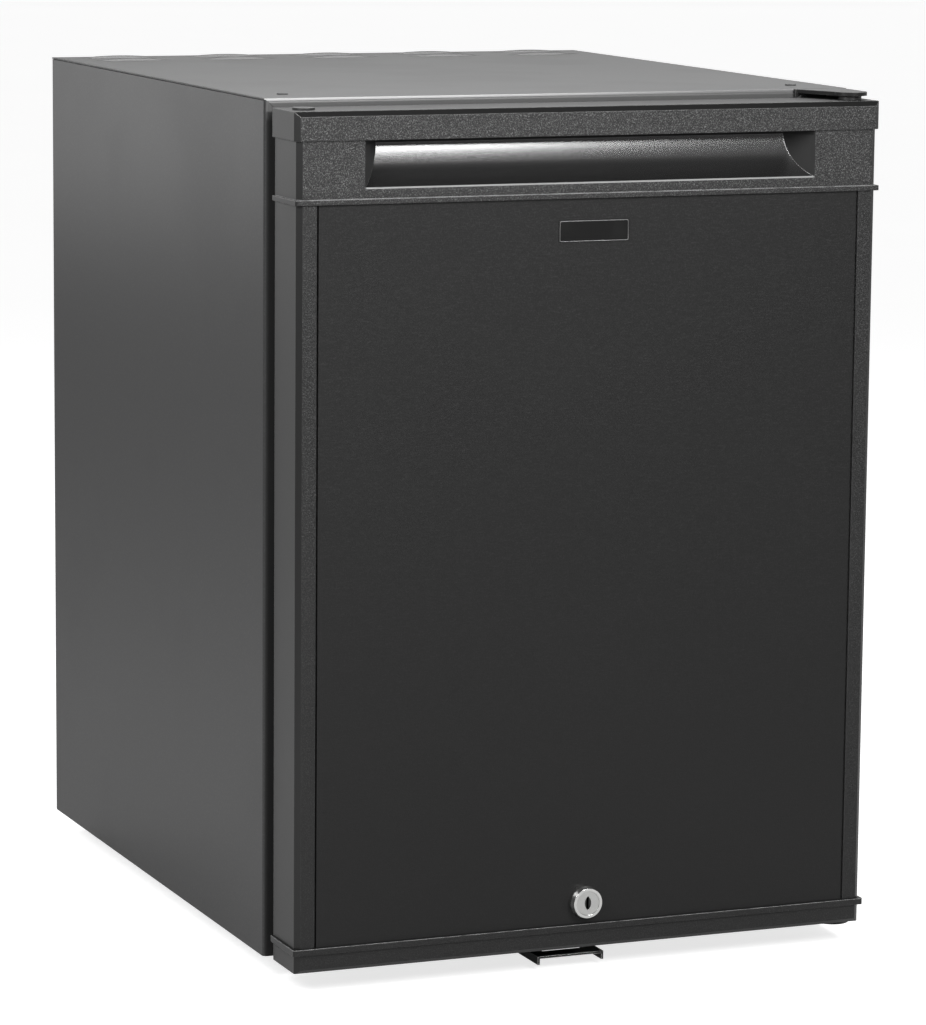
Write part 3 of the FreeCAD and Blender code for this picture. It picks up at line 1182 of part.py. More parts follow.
def heater_cartridge():
    z = BOILER_Z + HEATER_RISE
    edge = BOILER_X - math.sqrt(BOILER_RADIUS ** 2 - HEATER_RADIUS ** 2)
    return rod(HEATER_RADIUS, V(edge - HEATER_OUTSIDE, TUBE_Y, z), V(edge + HEATER_INSIDE, TUBE_Y, z))


def coil_path():
    """Serpentine from the vessel's top up to the evaporator's return."""
    points = [V(COIL_RIGHT, TUBE_Y, VESSEL_Z)]
    for i in range(COIL_PASSES):
        z = COIL_BOTTOM_Z + i * COIL_PITCH
        ends = (COIL_RIGHT, -EVAPORATOR_RISER_X)
        first, second = ends if i % 2 == 0 else ends[::-1]
        points += [V(first, TUBE_Y, z), V(second, TUBE_Y, z)]
    points.append(V(-EVAPORATOR_RISER_X, TUBE_Y, EVAPORATOR_Z - RISER_JOINT_DROP))
    return points


def absorber_coil():
    return tube(coil_path(), COIL_PITCH / 2 - FIT, COIL_RADIUS).cut(vessel_shape())


def vessel_shape():
    start = -VESSEL_LEFT + VESSEL_DOME
    end = VESSEL_RIGHT - VESSEL_DOME
    drum = rod(VESSEL_RADIUS, V(start, TUBE_Y, VESSEL_Z), V(end, TUBE_Y, VESSEL_Z))
    small = VESSEL_RADIUS - VESSEL_DOME
    left = Part.makeCone(VESSEL_RADIUS, small, VESSEL_DOME, V(start, TUBE_Y, VESSEL_Z), V(-1, 0, 0))
    right = Part.makeCone(VESSEL_RADIUS, small, VESSEL_DOME, V(end, TUBE_Y, VESSEL_Z), V(1, 0, 0))
    return join([drum, left, right])


def solution_pipe():
    points = [V(VESSEL_RIGHT, TUBE_Y, VESSEL_Z), V(BOILER_X, TUBE_Y, VESSEL_Z), V(BOILER_X, TUBE_Y, BOILER_Z)]
    return tube(points, SOLUTION_BEND, SOLUTION_PIPE_RADIUS)


def unit_brackets():
    """Blocks that carry the cooling unit on the rear panel."""
    shapes = []
    for share in VESSEL_SADDLE_SHARES:
        x = -VESSEL_LEFT + (VESSEL_LEFT + VESSEL_RIGHT) * share
        block = box(x - SADDLE_WIDTH / 2, x + SADDLE_WIDTH / 2, REAR_PANEL_Y, TUBE_Y,
                    VESSEL_Z - SADDLE_HALF_HEIGHT, VESSEL_Z + SADDLE_HALF_HEIGHT)
        groove = rod(VESSEL_RADIUS + SADDLE_FIT, V(-HALF, TUBE_Y, VESSEL_Z), V(HALF, TUBE_Y, VESSEL_Z))
        shapes.append(block.cut(groove))
    for share in BOILER_SADDLE_SHARES:
        z = BOILER_Z + BOILER_HEIGHT * share
        block = box(BOILER_X - SADDLE_HALF_HEIGHT, BOILER_X + SADDLE_HALF_HEIGHT, REAR_PANEL_Y, TUBE_Y,
                    z - SADDLE_WIDTH / 2, z + SADDLE_WIDTH / 2)
        groove = rod(BOILER_RADIUS + SADDLE_FIT, V(BOILER_X, TUBE_Y, BOTTOM_Z), V(BOILER_X, TUBE_Y, TOP_Z))
        shapes.append(block.cut(groove))
    low = COIL_BOTTOM_Z - COIL_CLIP_MARGIN
    high = COIL_TOP_Z + COIL_CLIP_MARGIN
    for share in COIL_CLIP_SHARES:
        x = -EVAPORATOR_RISER_X + (EVAPORATOR_RISER_X + COIL_RIGHT) * share
        bar = box(x - SADDLE_WIDTH / 2, x + SADDLE_WIDTH / 2, REAR_PANEL_Y, TUBE_Y, low, high)
        for i in range(COIL_PASSES):
            z = COIL_BOTTOM_Z + i * COIL_PITCH
            bar = bar.cut(rod(COIL_RADIUS + SADDLE_FIT, V(-HALF, TUBE_Y, z), V(HALF, TUBE_Y, z)))
        shapes.append(bar)
    return Part.makeCompound(shapes)


def control_box_block(inset):
    half = CONTROL_BOX_WIDTH / 2 - inset
    low = CONTROL_BOX_LOW_Z
    return box(CONTROL_BOX_CENTRE - half, CONTROL_BOX_CENTRE + half, REAR_PANEL_Y + inset,
               REAR_PANEL_Y + CONTROL_BOX_DEPTH, low + inset, low + CONTROL_BOX_HEIGHT - inset)


def control_box():
    return control_box_block(0).cut(control_box_block(CONTROL_BOX_WALL))


def inlet_centre():
    x = CONTROL_BOX_CENTRE + INLET_SHIFT
    y = REAR_PANEL_Y + CONTROL_BOX_DEPTH + CONTROL_BOX_WALL
    return V(x, y, CONTROL_BOX_Z)


def inlet_block(grow, y0, y1):
    centre = inlet_centre()
    half = INLET_WIDTH / 2 + grow
    tall = INLET_HEIGHT / 2 + grow
    return box(centre.x - half, centre.x + half, y0, y1, centre.z - tall, centre.z + tall)


def control_box_lid():
    y = REAR_PANEL_Y + CONTROL_BOX_DEPTH
    half = CONTROL_BOX_WIDTH / 2
    low = CONTROL_BOX_LOW_Z
    lid = box(CONTROL_BOX_CENTRE - half, CONTROL_BOX_CENTRE + half, y, y + CONTROL_BOX_WALL, low,
              low + CONTROL_BOX_HEIGHT)
    return lid.cut(inlet_block(FIT, y - OVERRUN, y + OVERRUN + CONTROL_BOX_WALL))


def power_inlet():
    y = inlet_centre().y
    shell = inlet_block(0, y - INLET_DEPTH, y)
    flange = inlet_block(INLET_FLANGE, y, y + INLET_FLANGE_THICKNESS)
    hollow = inlet_block(-INLET_WALL, y - INLET_DEPTH + INLET_WALL, y + OVERRUN + INLET_FLANGE_THICKNESS)
    return join([shell, flange]).cut(hollow)


def inlet_pins():
    centre = inlet_centre()
    y = centre.y - INLET_DEPTH + INLET_WALL
    shapes = []
    for place_x, rise in ((-1, 0), (0, 1), (1, 0)):
        x = centre.x + place_x * INLET_PIN_SPACING
        z = centre.z - INLET_PIN_RISE / 2 + rise * INLET_PIN_RISE
        shapes.append(box(x - INLET_PIN_THICKNESS / 2, x + INLET_PIN_THICKNESS / 2, y, y + INLET_PIN_LENGTH,
                          z - INLET_PIN_WIDTH / 2, z + INLET_PIN_WIDTH / 2))
    return Part.makeCompound(shapes)


def housing_block(inset):
    outline = [(CAVITY_HALF, HOUSING_Z + inset), (CAVITY_HALF, HOUSING_TOP_Z - inset),
               (HOUSING_FACE_X + HOUSING_BEVEL + inset, HOUSING_TOP_Z - inset),
               (HOUSING_FACE_X + inset, HOUSING_TOP_Z - HOUSING_BEVEL - inset),
               (HOUSING_FACE_X + inset, HOUSING_Z + HOUSING_BEVEL + inset),
               (HOUSING_FACE_X + HOUSING_BEVEL + inset, HOUSING_Z + inset)]
    return prism("XZ", outline, HOUSING_Y + inset, HOUSING_Y + HOUSING_LENGTH - inset)


def lens_block(x0, grow):
    half = LENS_LENGTH / 2 + grow
    tall = LENS_HEIGHT / 2 + grow
    return box(x0, HOUSING_FACE_X + HOUSING_WALL, LENS_Y - half, LENS_Y + half, KNOB_Z - tall, KNOB_Z + tall)


def spindle_bore(radius, x0, x1):
    return rod(radius, V(x0, KNOB_Y, KNOB_Z), V(x1, KNOB_Y, KNOB_Z))


def control_housing():
    shell = housing_block(0).cut(housing_block(HOUSING_WALL))
    reach = HOUSING_FACE_X + HOUSING_WALL
    boss = spindle_bore(SPINDLE_RADIUS + SPINDLE_BOSS_WALL, HOUSING_FACE_X, reach + SPINDLE_LENGTH)
    shell = join([shell, boss])
    shell = shell.cut(spindle_bore(SPINDLE_RADIUS + LOCK_RUN_FIT, HOUSING_FACE_X - OVERRUN, CAVITY_HALF))
    return shell.cut(lens_block(HOUSING_FACE_X - OVERRUN, FIT))


def lamp_lens():
    return lens_block(HOUSING_FACE_X - LENS_PROUD, 0)


def thermostat_knob():
    back = HOUSING_FACE_X - KNOB_GAP
    front = back - KNOB_HEIGHT
    knob = spindle_bore(KNOB_RADIUS, front, back)
    for i in range(KNOB_FLUTES):
        angle = math.radians(360 * i / KNOB_FLUTES)
        y = KNOB_Y + KNOB_RADIUS * math.sin(angle)
        z = KNOB_Z + KNOB_RADIUS * math.cos(angle)
        knob = knob.cut(rod(KNOB_FLUTE_RADIUS, V(front - OVERRUN, y, z), V(back + OVERRUN, y, z)))
    reach = KNOB_RADIUS - KNOB_FLUTE_RADIUS * 2
    grip = box(front - KNOB_GRIP_HEIGHT, front, KNOB_Y - KNOB_GRIP_WIDTH / 2, KNOB_Y + KNOB_GRIP_WIDTH / 2,
               KNOB_Z - reach, KNOB_Z + reach)
    spindle = spindle_bore(SPINDLE_RADIUS, back, HOUSING_FACE_X + HOUSING_WALL + SPINDLE_LENGTH)
    return join([knob, grip, spindle])


def all_parts():
    left_stile = door_left_stile()
    parts = {
        "top_panel": top_panel(),
        "left_side_panel": left_side_panel(),
        "right_side_panel": right_side_panel(),
        "base_panel": base_panel(),
        "rear_panel": rear_panel(),
        "inner_liner": inner_liner(),
        "cabinet_foam": cabinet_foam(),
        "top_screws": screws(top_screw_seats(), TOP_SCREW_HEAD_HEIGHT),
        "feet": feet(),
        "upper_hinge_bracket": upper_hinge_bracket(),
        "lower_hinge_bracket": lower_hinge_bracket(),
        "hinge_pins": hinge_pins(),
        "hinge_screws": screws(hinge_screw_seats(), SCREW_HEAD_HEIGHT),
        "lock_keeper": lock_keeper(),
        "keeper_screws": screws(keeper_screw_seats(), SCREW_HEAD_HEIGHT),
        "evaporator_fins": evaporator_fins(),
        "evaporator_screws": screws(evaporator_screw_seats(), SCREW_HEAD_HEIGHT),
        "evaporator_plug": evaporator_plug(),
        "evaporator_tube": evaporator_tube(),
        "condenser_tube": condenser_tube(),
        "condenser_fins": condenser_fins(),
        "boiler_jacket": boiler_jacket(),
        "heater_cartridge": heater_cartridge(),
        "absorber_coil": absorber_coil(),
        "absorber_vessel": vessel_shape(),
        "solution_pipe": solution_pipe(),
        "unit_brackets": unit_brackets(),
        "control_box": control_box(),
        "control_box_lid": control_box_lid(),
        "power_inlet": power_inlet(),
        "inlet_pins": inlet_pins(),
        "control_housing": control_housing(),
        "lamp_lens": lamp_lens(),
        "thermostat_knob": thermostat_knob(),
        "door_top_cap": door_top_cap(),
        "door_handle_rail": door_handle_rail(),
        "door_left_stile": left_stile,
        "door_right_stile": mirrored(left_stile),
        "door_bottom_rail": door_bottom_rail(),
        "door_panel": door_panel(),
        "badge_plate": badge_plate(),
        "door_foam": door_foam(),
        "door_inner_liner": door_inner_liner(),
        "door_gasket": door_gasket(),
        "gasket_magnets": gasket_magnets(),
        "hinge_bushes": hinge_bushes(),
        "hinge_hole_plug": hinge_hole_plug(),
        "lock_body": lock_body(),
        "lock_nut": lock_nut(),
        "lock_pocket": lock_pocket(),
        "lock_plug": lock_plug(),
        "lock_cam": lock_cam(),
        "cam_screw": cam_screw(),
    }
    for name, share in zip(("lower_shelf", "upper_shelf"), SHELF_LEVEL_SHARES):
        parts[name] = wire_shelf(share)
    for name, share, height in zip(BIN_NAMES, BIN_LEVEL_SHARES, BIN_HEIGHTS):
        parts[name] = door_bin(share, height)
    return parts


os.makedirs("parts", exist_ok=True)
for part_name, part_shape in all_parts().items():
    part_shape.exportStep("parts/" + part_name + ".step")
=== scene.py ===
import math

import bmesh
import bpy
from bpy.props import FloatProperty, FloatVectorProperty, IntProperty, PointerProperty
from mathutils import Matrix, Vector


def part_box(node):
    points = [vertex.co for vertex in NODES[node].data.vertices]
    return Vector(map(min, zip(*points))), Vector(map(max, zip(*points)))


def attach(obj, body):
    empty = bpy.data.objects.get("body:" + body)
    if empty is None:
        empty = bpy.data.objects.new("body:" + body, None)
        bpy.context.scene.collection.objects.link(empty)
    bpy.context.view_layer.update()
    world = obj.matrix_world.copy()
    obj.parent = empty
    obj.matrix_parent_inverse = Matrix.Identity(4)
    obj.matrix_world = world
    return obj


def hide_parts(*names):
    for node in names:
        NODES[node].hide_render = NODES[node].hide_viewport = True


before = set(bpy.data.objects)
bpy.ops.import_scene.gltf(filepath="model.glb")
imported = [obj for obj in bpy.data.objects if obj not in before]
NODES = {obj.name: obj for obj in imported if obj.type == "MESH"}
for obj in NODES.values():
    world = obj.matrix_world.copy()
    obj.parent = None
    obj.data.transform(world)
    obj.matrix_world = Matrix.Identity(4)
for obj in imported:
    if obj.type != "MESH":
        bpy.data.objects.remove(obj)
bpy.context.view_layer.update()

bl_info = {
    "name": "Minibar Fridge",
    "version": (1, 0, 0),
    "blender": (4, 5, 0),
    "location": "View3D > Sidebar > Minibar",
    "description": "Finishes, soft pieces and studio of a small black minibar fridge",
    "category": "Object",
}

IMAGE_LONG_SIDE = 1025
SENSOR = 36.0
MM = 0.001


# Node boards

class Board:
    """Short calls for adding nodes to a tree and joining them."""

    def __init__(self, tree):
        self.tree = tree

    def feed(self, socket, value):
        if isinstance(value, bpy.types.NodeSocket):
            self.tree.links.new(value, socket)
        elif value is not None:
            socket.default_value = value

    def add(self, kind, inputs=None, **settings):
        node = self.tree.nodes.new(kind)
        for name, value in settings.items():
            setattr(node, name, value)
        for name, value in (inputs or {}).items():
            self.feed(node.inputs[name], value)
        return node

    def sum(self, operation, first, second=None, third=None):
        node = self.add("ShaderNodeMath", operation=operation)
        for socket, value in zip(node.inputs, (first, second, third)):
            self.feed(socket, value)
        return node.outputs[0]

    def vector(self, operation, first, second=None):
        node = self.add("ShaderNodeVectorMath", operation=operation)
        for socket, value in zip(node.inputs, (first, second)):
            self.feed(socket, value)
        return node.outputs["Value" if operation in ("DOT_PRODUCT", "LENGTH") else "Vector"]

    def step(self, value, low, high, start=0.0, end=1.0):
        node = self.add("ShaderNodeMapRange", {"Value": value, "From Min": low, "From Max": high,
                                               "To Min": start, "To Max": end},
                        interpolation_type="SMOOTHSTEP")
        return node.outputs["Result"]

    def above(self, value, edge, blur):
        return self.step(value, edge - blur, edge + blur)

    def below(self, value, edge, blur):
        return self.step(value, edge - blur, edge + blur, 1.0, 0.0)

    def product(self, first, *others):
        for other in others:
            first = self.sum("MULTIPLY", first, other)
        return first

    def without(self, mask):
        return self.sum("SUBTRACT", 1.0, mask)

    def fade(self, mask, first, second):
        return self.sum("ADD", self.product(first, self.without(mask)), self.product(mask, second))

    def mix(self, share, first, second, blend="MIX"):
        node = self.add("ShaderNodeMix", data_type="RGBA", blend_type=blend)
        self.feed(node.inputs["Factor"], share)
        self.feed(node.inputs[6], first)
        self.feed(node.inputs[7], second)
        return node.outputs[2]

    def noise(self, vector, scale, detail=2.0, roughness=0.5):
        node = self.add("ShaderNodeTexNoise", {"Vector": vector, "Scale": scale, "Detail": detail,
                                               "Roughness": roughness})
        return node.outputs["Fac"]

    def group(self, tree, **inputs):
        node = self.add("ShaderNodeGroup", node_tree=tree)
        for name, value in inputs.items():
            self.feed(node.inputs[name.replace("_", " ")], value)
        return node.outputs


def rgba(colour):
    return (colour[0], colour[1], colour[2], 1.0)


def grey(level):
    return (level, level, level, 1.0)


def new_group(name, inputs, outputs):
    """Empty shader node group with named sockets, and its board."""
    tree = bpy.data.node_groups.new(name, "ShaderNodeTree")
    for socket, kind, default in inputs:
        made = tree.interface.new_socket(socket, in_out="INPUT", socket_type=kind)
        if default is not None:
            made.default_value = default
    for socket, kind in outputs:
        tree.interface.new_socket(socket, in_out="OUTPUT", socket_type=kind)
    board = Board(tree)
    source = board.add("NodeGroupInput").outputs
    target = board.add("NodeGroupOutput").inputs
    return tree, board, source, target


FLOAT = "NodeSocketFloat"
VECTOR = "NodeSocketVector"


def grain_group():
    """Pitted texture of a moulded surface: its relief, and the mask of its bright specks, which are painted
    glints as well as grain.
    """
    tree, b, source, target = new_group(
        "moulded_grain", [("Vector", VECTOR, None), ("Size", FLOAT, 0.001)],
        [("Relief", FLOAT), ("Specks_and_glints", FLOAT)])
    scale = b.sum("DIVIDE", 1.0, source["Size"])
    turned = b.add("ShaderNodeMapping", {"Vector": source["Vector"], "Rotation": (0.6, 0.45, 0.3)})
    coarse = b.noise(turned.outputs["Vector"], scale, 2.0, 0.7)
    fine = b.noise(turned.outputs["Vector"], b.product(scale, 2.3), 1.0, 0.5)
    relief = b.sum("ADD", b.product(coarse, 0.7), b.product(fine, 0.3))
    b.feed(target["Relief"], relief)
    b.feed(target["Specks_and_glints"], b.step(relief, 0.46, 0.72))
    return tree


def tone_group():
    """Slow drift of shade over a surface, with fine mottling, both around one."""
    tree, b, source, target = new_group(
        "surface_tone", [("Vector", VECTOR, None), ("Size", FLOAT, 0.08), ("Amount", FLOAT, 0.2)],
        [("Tone", FLOAT), ("Smudge", FLOAT)])
    scale = b.sum("DIVIDE", 1.0, source["Size"])
    broad = b.noise(source["Vector"], scale, 3.0, 0.55)
    small = b.noise(source["Vector"], b.product(scale, 11.0), 2.0, 0.6)
    drift = b.sum("ADD", b.product(b.sum("SUBTRACT", broad, 0.5), 1.6),
                  b.product(b.sum("SUBTRACT", small, 0.5), 0.7))
    b.feed(target["Tone"], b.sum("ADD", 1.0, b.product(drift, source["Amount"])))
    b.feed(target["Smudge"], b.step(broad, 0.45, 0.7))
    return tree


def edge_group():
    """Rounded normal at hard edges, the mask of the rubbed strip along all of them, and the mask of the strip
    along upward-facing ones, where the trim paints a highlight.
    """
    tree, b, source, target = new_group(
        "rubbed_edge", [("Vector", VECTOR, None), ("Radius", FLOAT, 0.0006)],
        [("Edge", FLOAT), ("Upper", FLOAT), ("Normal", VECTOR)])
    rounded = b.add("ShaderNodeBevel", {"Radius": source["Radius"]}, samples=6).outputs["Normal"]
    flat = b.add("ShaderNodeNewGeometry").outputs["Normal"]
    turn = b.sum("SUBTRACT", 1.0, b.vector("DOT_PRODUCT", rounded, flat))
    broken = b.noise(source["Vector"], 160.0, 3.0, 0.6)
    strip = b.product(b.step(turn, 0.01, 0.16), b.step(broken, 0.25, 0.6))
    lift = b.add("ShaderNodeSeparateXYZ", {"Vector": rounded}).outputs["Z"]
    b.feed(target["Edge"], strip)
    b.feed(target["Upper"], b.product(strip, b.step(lift, 0.15, 0.5)))
    b.feed(target["Normal"], rounded)
    return tree


def dust_group():
    """Thin film of dust that settles on faces that look upwards."""
    tree, b, source, target = new_group(
        "dust_film", [("Vector", VECTOR, None), ("Amount", FLOAT, 0.3)], [("Dust", FLOAT)])
    normal = b.add("ShaderNodeNewGeometry").outputs["Normal"]
    up = b.add("ShaderNodeSeparateXYZ", {"Vector": normal}).outputs["Z"]
    patch = b.noise(source["Vector"], 14.0, 5.0, 0.65)
    motes = b.step(b.noise(source["Vector"], 900.0, 1.0, 0.5), 0.6, 0.75)
    film = b.sum("ADD", b.step(patch, 0.3, 0.8), b.product(motes, 0.6))
    b.feed(target["Dust"], b.product(film, b.step(up, 0.3, 0.95), source["Amount"]))
    return tree


def brushed_group():
    """Fine parallel scratches of drawn or brushed metal, stretched along one axis."""
    tree, b, source, target = new_group(
        "brushed_lines",
        [("Vector", VECTOR, None), ("Stretch", VECTOR, (1.0, 1.0, 1.0)), ("Scale", FLOAT, 900.0)],
        [("Lines", FLOAT)])
    run = b.vector("MULTIPLY", source["Vector"], source["Stretch"])
    b.feed(target["Lines"], b.noise(run, source["Scale"], 3.0, 0.65))
    return tree


GROUPS = {"grain": grain_group(), "tone": tone_group(), "edge": edge_group(), "dust": dust_group(),
          "brushed": brushed_group()}


# Finishes

SCOOP_START = 2.4 * MM
SCOOP_DEPTH = 22.25 * MM
SCOOP_HALF_WIDTH = 153.6 * MM
SCOOP_LOW = 507.0 * MM
SCOOP_HIGH = 537.4 * MM
CAP_SHADOW_LOW = 534.0 * MM
LIP_HIGH = 508.0 * MM
LIP_HALF_WIDTH = 152.75 * MM
FRONT_FRAME_INNER = 172.5 * MM
FRONT_FRAME_TOP = 548.0 * MM
FASCIA_LOW = 551.75 * MM
TOP_BEND_REAR = -187.5 * MM
BASE_PAINT_DEPTH = 3.5 * MM
KEY_RECESS_DEPTH = 0.325 * MM
FINE = 0.2 * MM


class Finish:
    """A new material with its board, its shader and the coordinates of the object's own frame."""

    def __init__(self, name, specular=0.5, metallic=0.0, **constants):
        self.material = bpy.data.materials.new(name)
        self.material.use_nodes = True
        self.board = Board(self.material.node_tree)
        self.shader = self.material.node_tree.nodes["Principled BSDF"].inputs
        self.place = self.board.add("ShaderNodeTexCoord").outputs
        self.shader["Specular IOR Level"].default_value = specular
        self.shader["Metallic"].default_value = metallic
        for socket, value in constants.items():
            self.shader[socket.replace("_", " ")].default_value = value

    def use(self, group, **inputs):
        return self.board.group(GROUPS[group], Vector=self.place["Object"], **inputs)

    def axes(self):
        return self.board.add("ShaderNodeSeparateXYZ", {"Vector": self.place["Object"]}).outputs

    def facing(self):
        """How far a face looks to either side, ahead and up."""
        side, back, up = self.board.add("ShaderNodeSeparateXYZ", {"Vector": self.place["Normal"]}).outputs
        return self.board.sum("ABSOLUTE", side), self.board.sum("MULTIPLY", back, -1.0), up

    def shade(self, colour, amount):
        return self.board.mix(1.0, colour, amount, "MULTIPLY")

    def bump(self, height, depth, normal=None):
        node = self.board.add("ShaderNodeBump", {"Height": height, "Strength": 1.0, "Distance": depth})
        self.board.feed(node.inputs["Normal"], normal)
        return node.outputs["Normal"]

    def set(self, **values):
        for socket, value in values.items():
            self.board.feed(self.shader[socket.replace("_", " ")], value)
        return self.material


def plain_finish(name, colour, rough=(0.4, 0.55), drift=0.2, drift_size=0.06, grain=0.8 * MM,
                 depth=0.02 * MM, edge=0.5 * MM, edge_light=0.25, dust=0.0, specular=0.5, metallic=0.0):
    """Painted, moulded or plated surface: drifting tone, fine relief, rubbed edges and dust."""
    f = Finish(name, specular, metallic)
    b = f.board
    tone = f.use("tone", Size=drift_size, Amount=drift)
    relief = f.use("grain", Size=grain)
    rubbed = f.use("edge", Radius=edge)
    light = tuple(c + (1.0 - c) * edge_light for c in colour)
    paint = f.shade(rgba(colour), tone["Tone"])
    paint = b.mix(b.product(rubbed["Edge"], 0.5), paint, rgba(light))
    shine = b.step(tone["Smudge"], 0.0, 1.0, *rough)
    if dust > 0:
        film = f.use("dust", Amount=dust)["Dust"]
        paint = b.mix(film, paint, (0.42, 0.41, 0.4, 1.0))
        shine = b.sum("ADD", shine, b.product(film, 0.3))
    return f.set(Base_Color=paint, Roughness=shine,
                 Normal=f.bump(relief["Relief"], depth, rubbed["Normal"]))


def brushed_finish(name, colour, stretch, rough=(0.25, 0.4), scale=900.0, depth=0.01 * MM):
    """Bare metal with fine lines along one axis."""
    f = Finish(name, metallic=1.0)
    b = f.board
    lines = f.use("brushed", Stretch=stretch, Scale=scale)["Lines"]
    tone = f.use("tone", Size=0.03, Amount=0.15)
    rubbed = f.use("edge", Radius=0.3 * MM)
    paint = f.shade(rgba(colour), tone["Tone"])
    paint = b.mix(b.product(rubbed["Edge"], 0.4), paint, grey(0.9))
    shine = b.step(lines, 0.3, 0.7, *rough)
    return f.set(Base_Color=paint, Roughness=shine, Normal=f.bump(lines, depth, rubbed["Normal"]))


def trim_finish(name, look):
    """Moulded black trim: pitted front with painted glints, brighter towards the top, smooth bevels, sides
    painted paler as if lit, painted highlights on upward edges and the scoop's lip, a painted shadow under
    the cap and a polished finger scoop.
    """
    f = Finish(name, specular=0.42)
    b = f.board
    grain = f.use("grain", Size=look.trim_grain)
    tone = f.use("tone", Size=0.09, Amount=0.06)
    rubbed = f.use("edge", Radius=0.8 * MM)
    sideways, ahead, _ = f.facing()
    x, y, z = f.axes()
    off_middle = b.sum("ABSOLUTE", x)
    door_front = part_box("door_handle_rail")[0].y

    flat_front = b.step(ahead, 0.85, 0.97)
    bevel = b.product(b.step(ahead, 0.35, 0.6), b.without(flat_front))
    painted_flank_light = b.step(sideways, 0.85, 0.97)
    scoop = b.product(b.above(y, door_front + SCOOP_START, 0.3 * MM),
                      b.below(y, door_front + SCOOP_DEPTH, 0.25 * MM),
                      b.below(off_middle, SCOOP_HALF_WIDTH, FINE),
                      b.above(z, SCOOP_LOW, FINE), b.below(z, SCOOP_HIGH, FINE))
    # Painted shadow: the top of the scoop, just under the cap, is painted near black.
    cap_shadow = b.product(scoop, b.above(z, CAP_SHADOW_LOW, 0.4 * MM))
    polish = b.product(b.sum("SUBTRACT", scoop, cap_shadow), b.step(sideways, 0.2, 0.5, 1.0, 0.0))
    # Painted highlight: a light strip along the scoop's lower lip.
    lip_highlight = b.product(b.above(z, SCOOP_LOW, FINE), b.below(z, LIP_HIGH, FINE),
                    b.below(off_middle, LIP_HALF_WIDTH, 0.75 * MM))
    pitted = b.product(flat_front, b.without(scoop))
    smooth = b.sum("MAXIMUM", scoop, bevel)

    paint = f.shade(rgba(look.trim_colour), tone["Tone"])
    # Painted light: faces that look sideways are painted paler, as if lit.
    paint = b.mix(painted_flank_light, paint, grey(0.034))
    # Painted glints: the specks are painted brighter up the door, and most on the cap and handle rail, as if
    # lit from above.
    glint_by_height = b.sum("ADD", b.step(z, 0.05, 0.45, 0.05, 0.24), b.step(z, 0.49, 0.51, 0.0, 0.5))
    speck_glints = b.product(grain["Specks_and_glints"], b.sum("ADD", 0.06, b.product(pitted, glint_by_height)))
    paint = b.mix(speck_glints, paint, rgba(look.speck_and_glint_colour))
    for mask, tint in ((smooth, 0.006), (scoop, 0.012), (polish, look.scoop_tint), (cap_shadow, 0.001),
                       # Rubbed edges are lightened a little as wear; edges that face upwards get a painted
                       # highlight.
                       (b.product(rubbed["Edge"], 0.15), 0.2), (b.product(rubbed["Upper"], 0.85), 0.4),
                       (b.product(lip_highlight, 0.7), 0.4)):
        paint = b.mix(mask, paint, grey(tint))

    shine = b.step(tone["Smudge"], 0.0, 1.0, 0.45, 0.48)
    shine = b.sum("SUBTRACT", shine, b.product(rubbed["Edge"], 0.25))
    shine = b.fade(bevel, shine, 0.34)
    shine = b.fade(scoop, shine, 0.7)
    shine = b.sum("SUBTRACT", shine, b.product(polish, 0.5))
    relief = b.product(grain["Relief"], b.sum("ADD", 0.12, b.product(pitted, 0.88)), b.without(smooth))
    return f.set(Base_Color=paint, Roughness=shine, Metallic=b.product(polish, look.scoop_metal),
                 Normal=f.bump(relief, 0.3 * MM, rubbed["Normal"]))


def panel_finish(name, look):
    """Black decor sheet of the door, with a fine woven grain, its lighter threads and specks painted brighter
    towards the top as glints.
    """
    f = Finish(name, specular=0.25)
    b = f.board
    grain = f.use("grain", Size=look.panel_grain)
    tone = f.use("tone", Size=0.12, Amount=0.06)
    threads = f.use("brushed", Stretch=(0.12, 1.0, 1.0), Scale=1500.0)["Lines"]
    rubbed = f.use("edge", Radius=0.5 * MM)
    weave_and_glints = b.sum("ADD", b.product(grain["Specks_and_glints"], 0.7), b.product(b.step(threads, 0.5, 0.75), 0.4))
    paint = f.shade(rgba(look.panel_colour), tone["Tone"])
    # Painted glints: the threads and specks show lighter towards the top of the door.
    paint = b.mix(b.product(weave_and_glints, b.step(f.axes()["Z"], 0.1, 0.5, 0.15, 0.7)), paint,
                  rgba(look.panel_thread_glint_colour))
    shine = b.step(tone["Smudge"], 0.0, 1.0, 0.48, 0.5)
    relief = b.sum("ADD", b.product(grain["Relief"], 0.7), b.product(threads, 0.3))
    return f.set(Base_Color=paint, Roughness=shine, Normal=f.bump(relief, 0.12 * MM, rubbed["Normal"]))


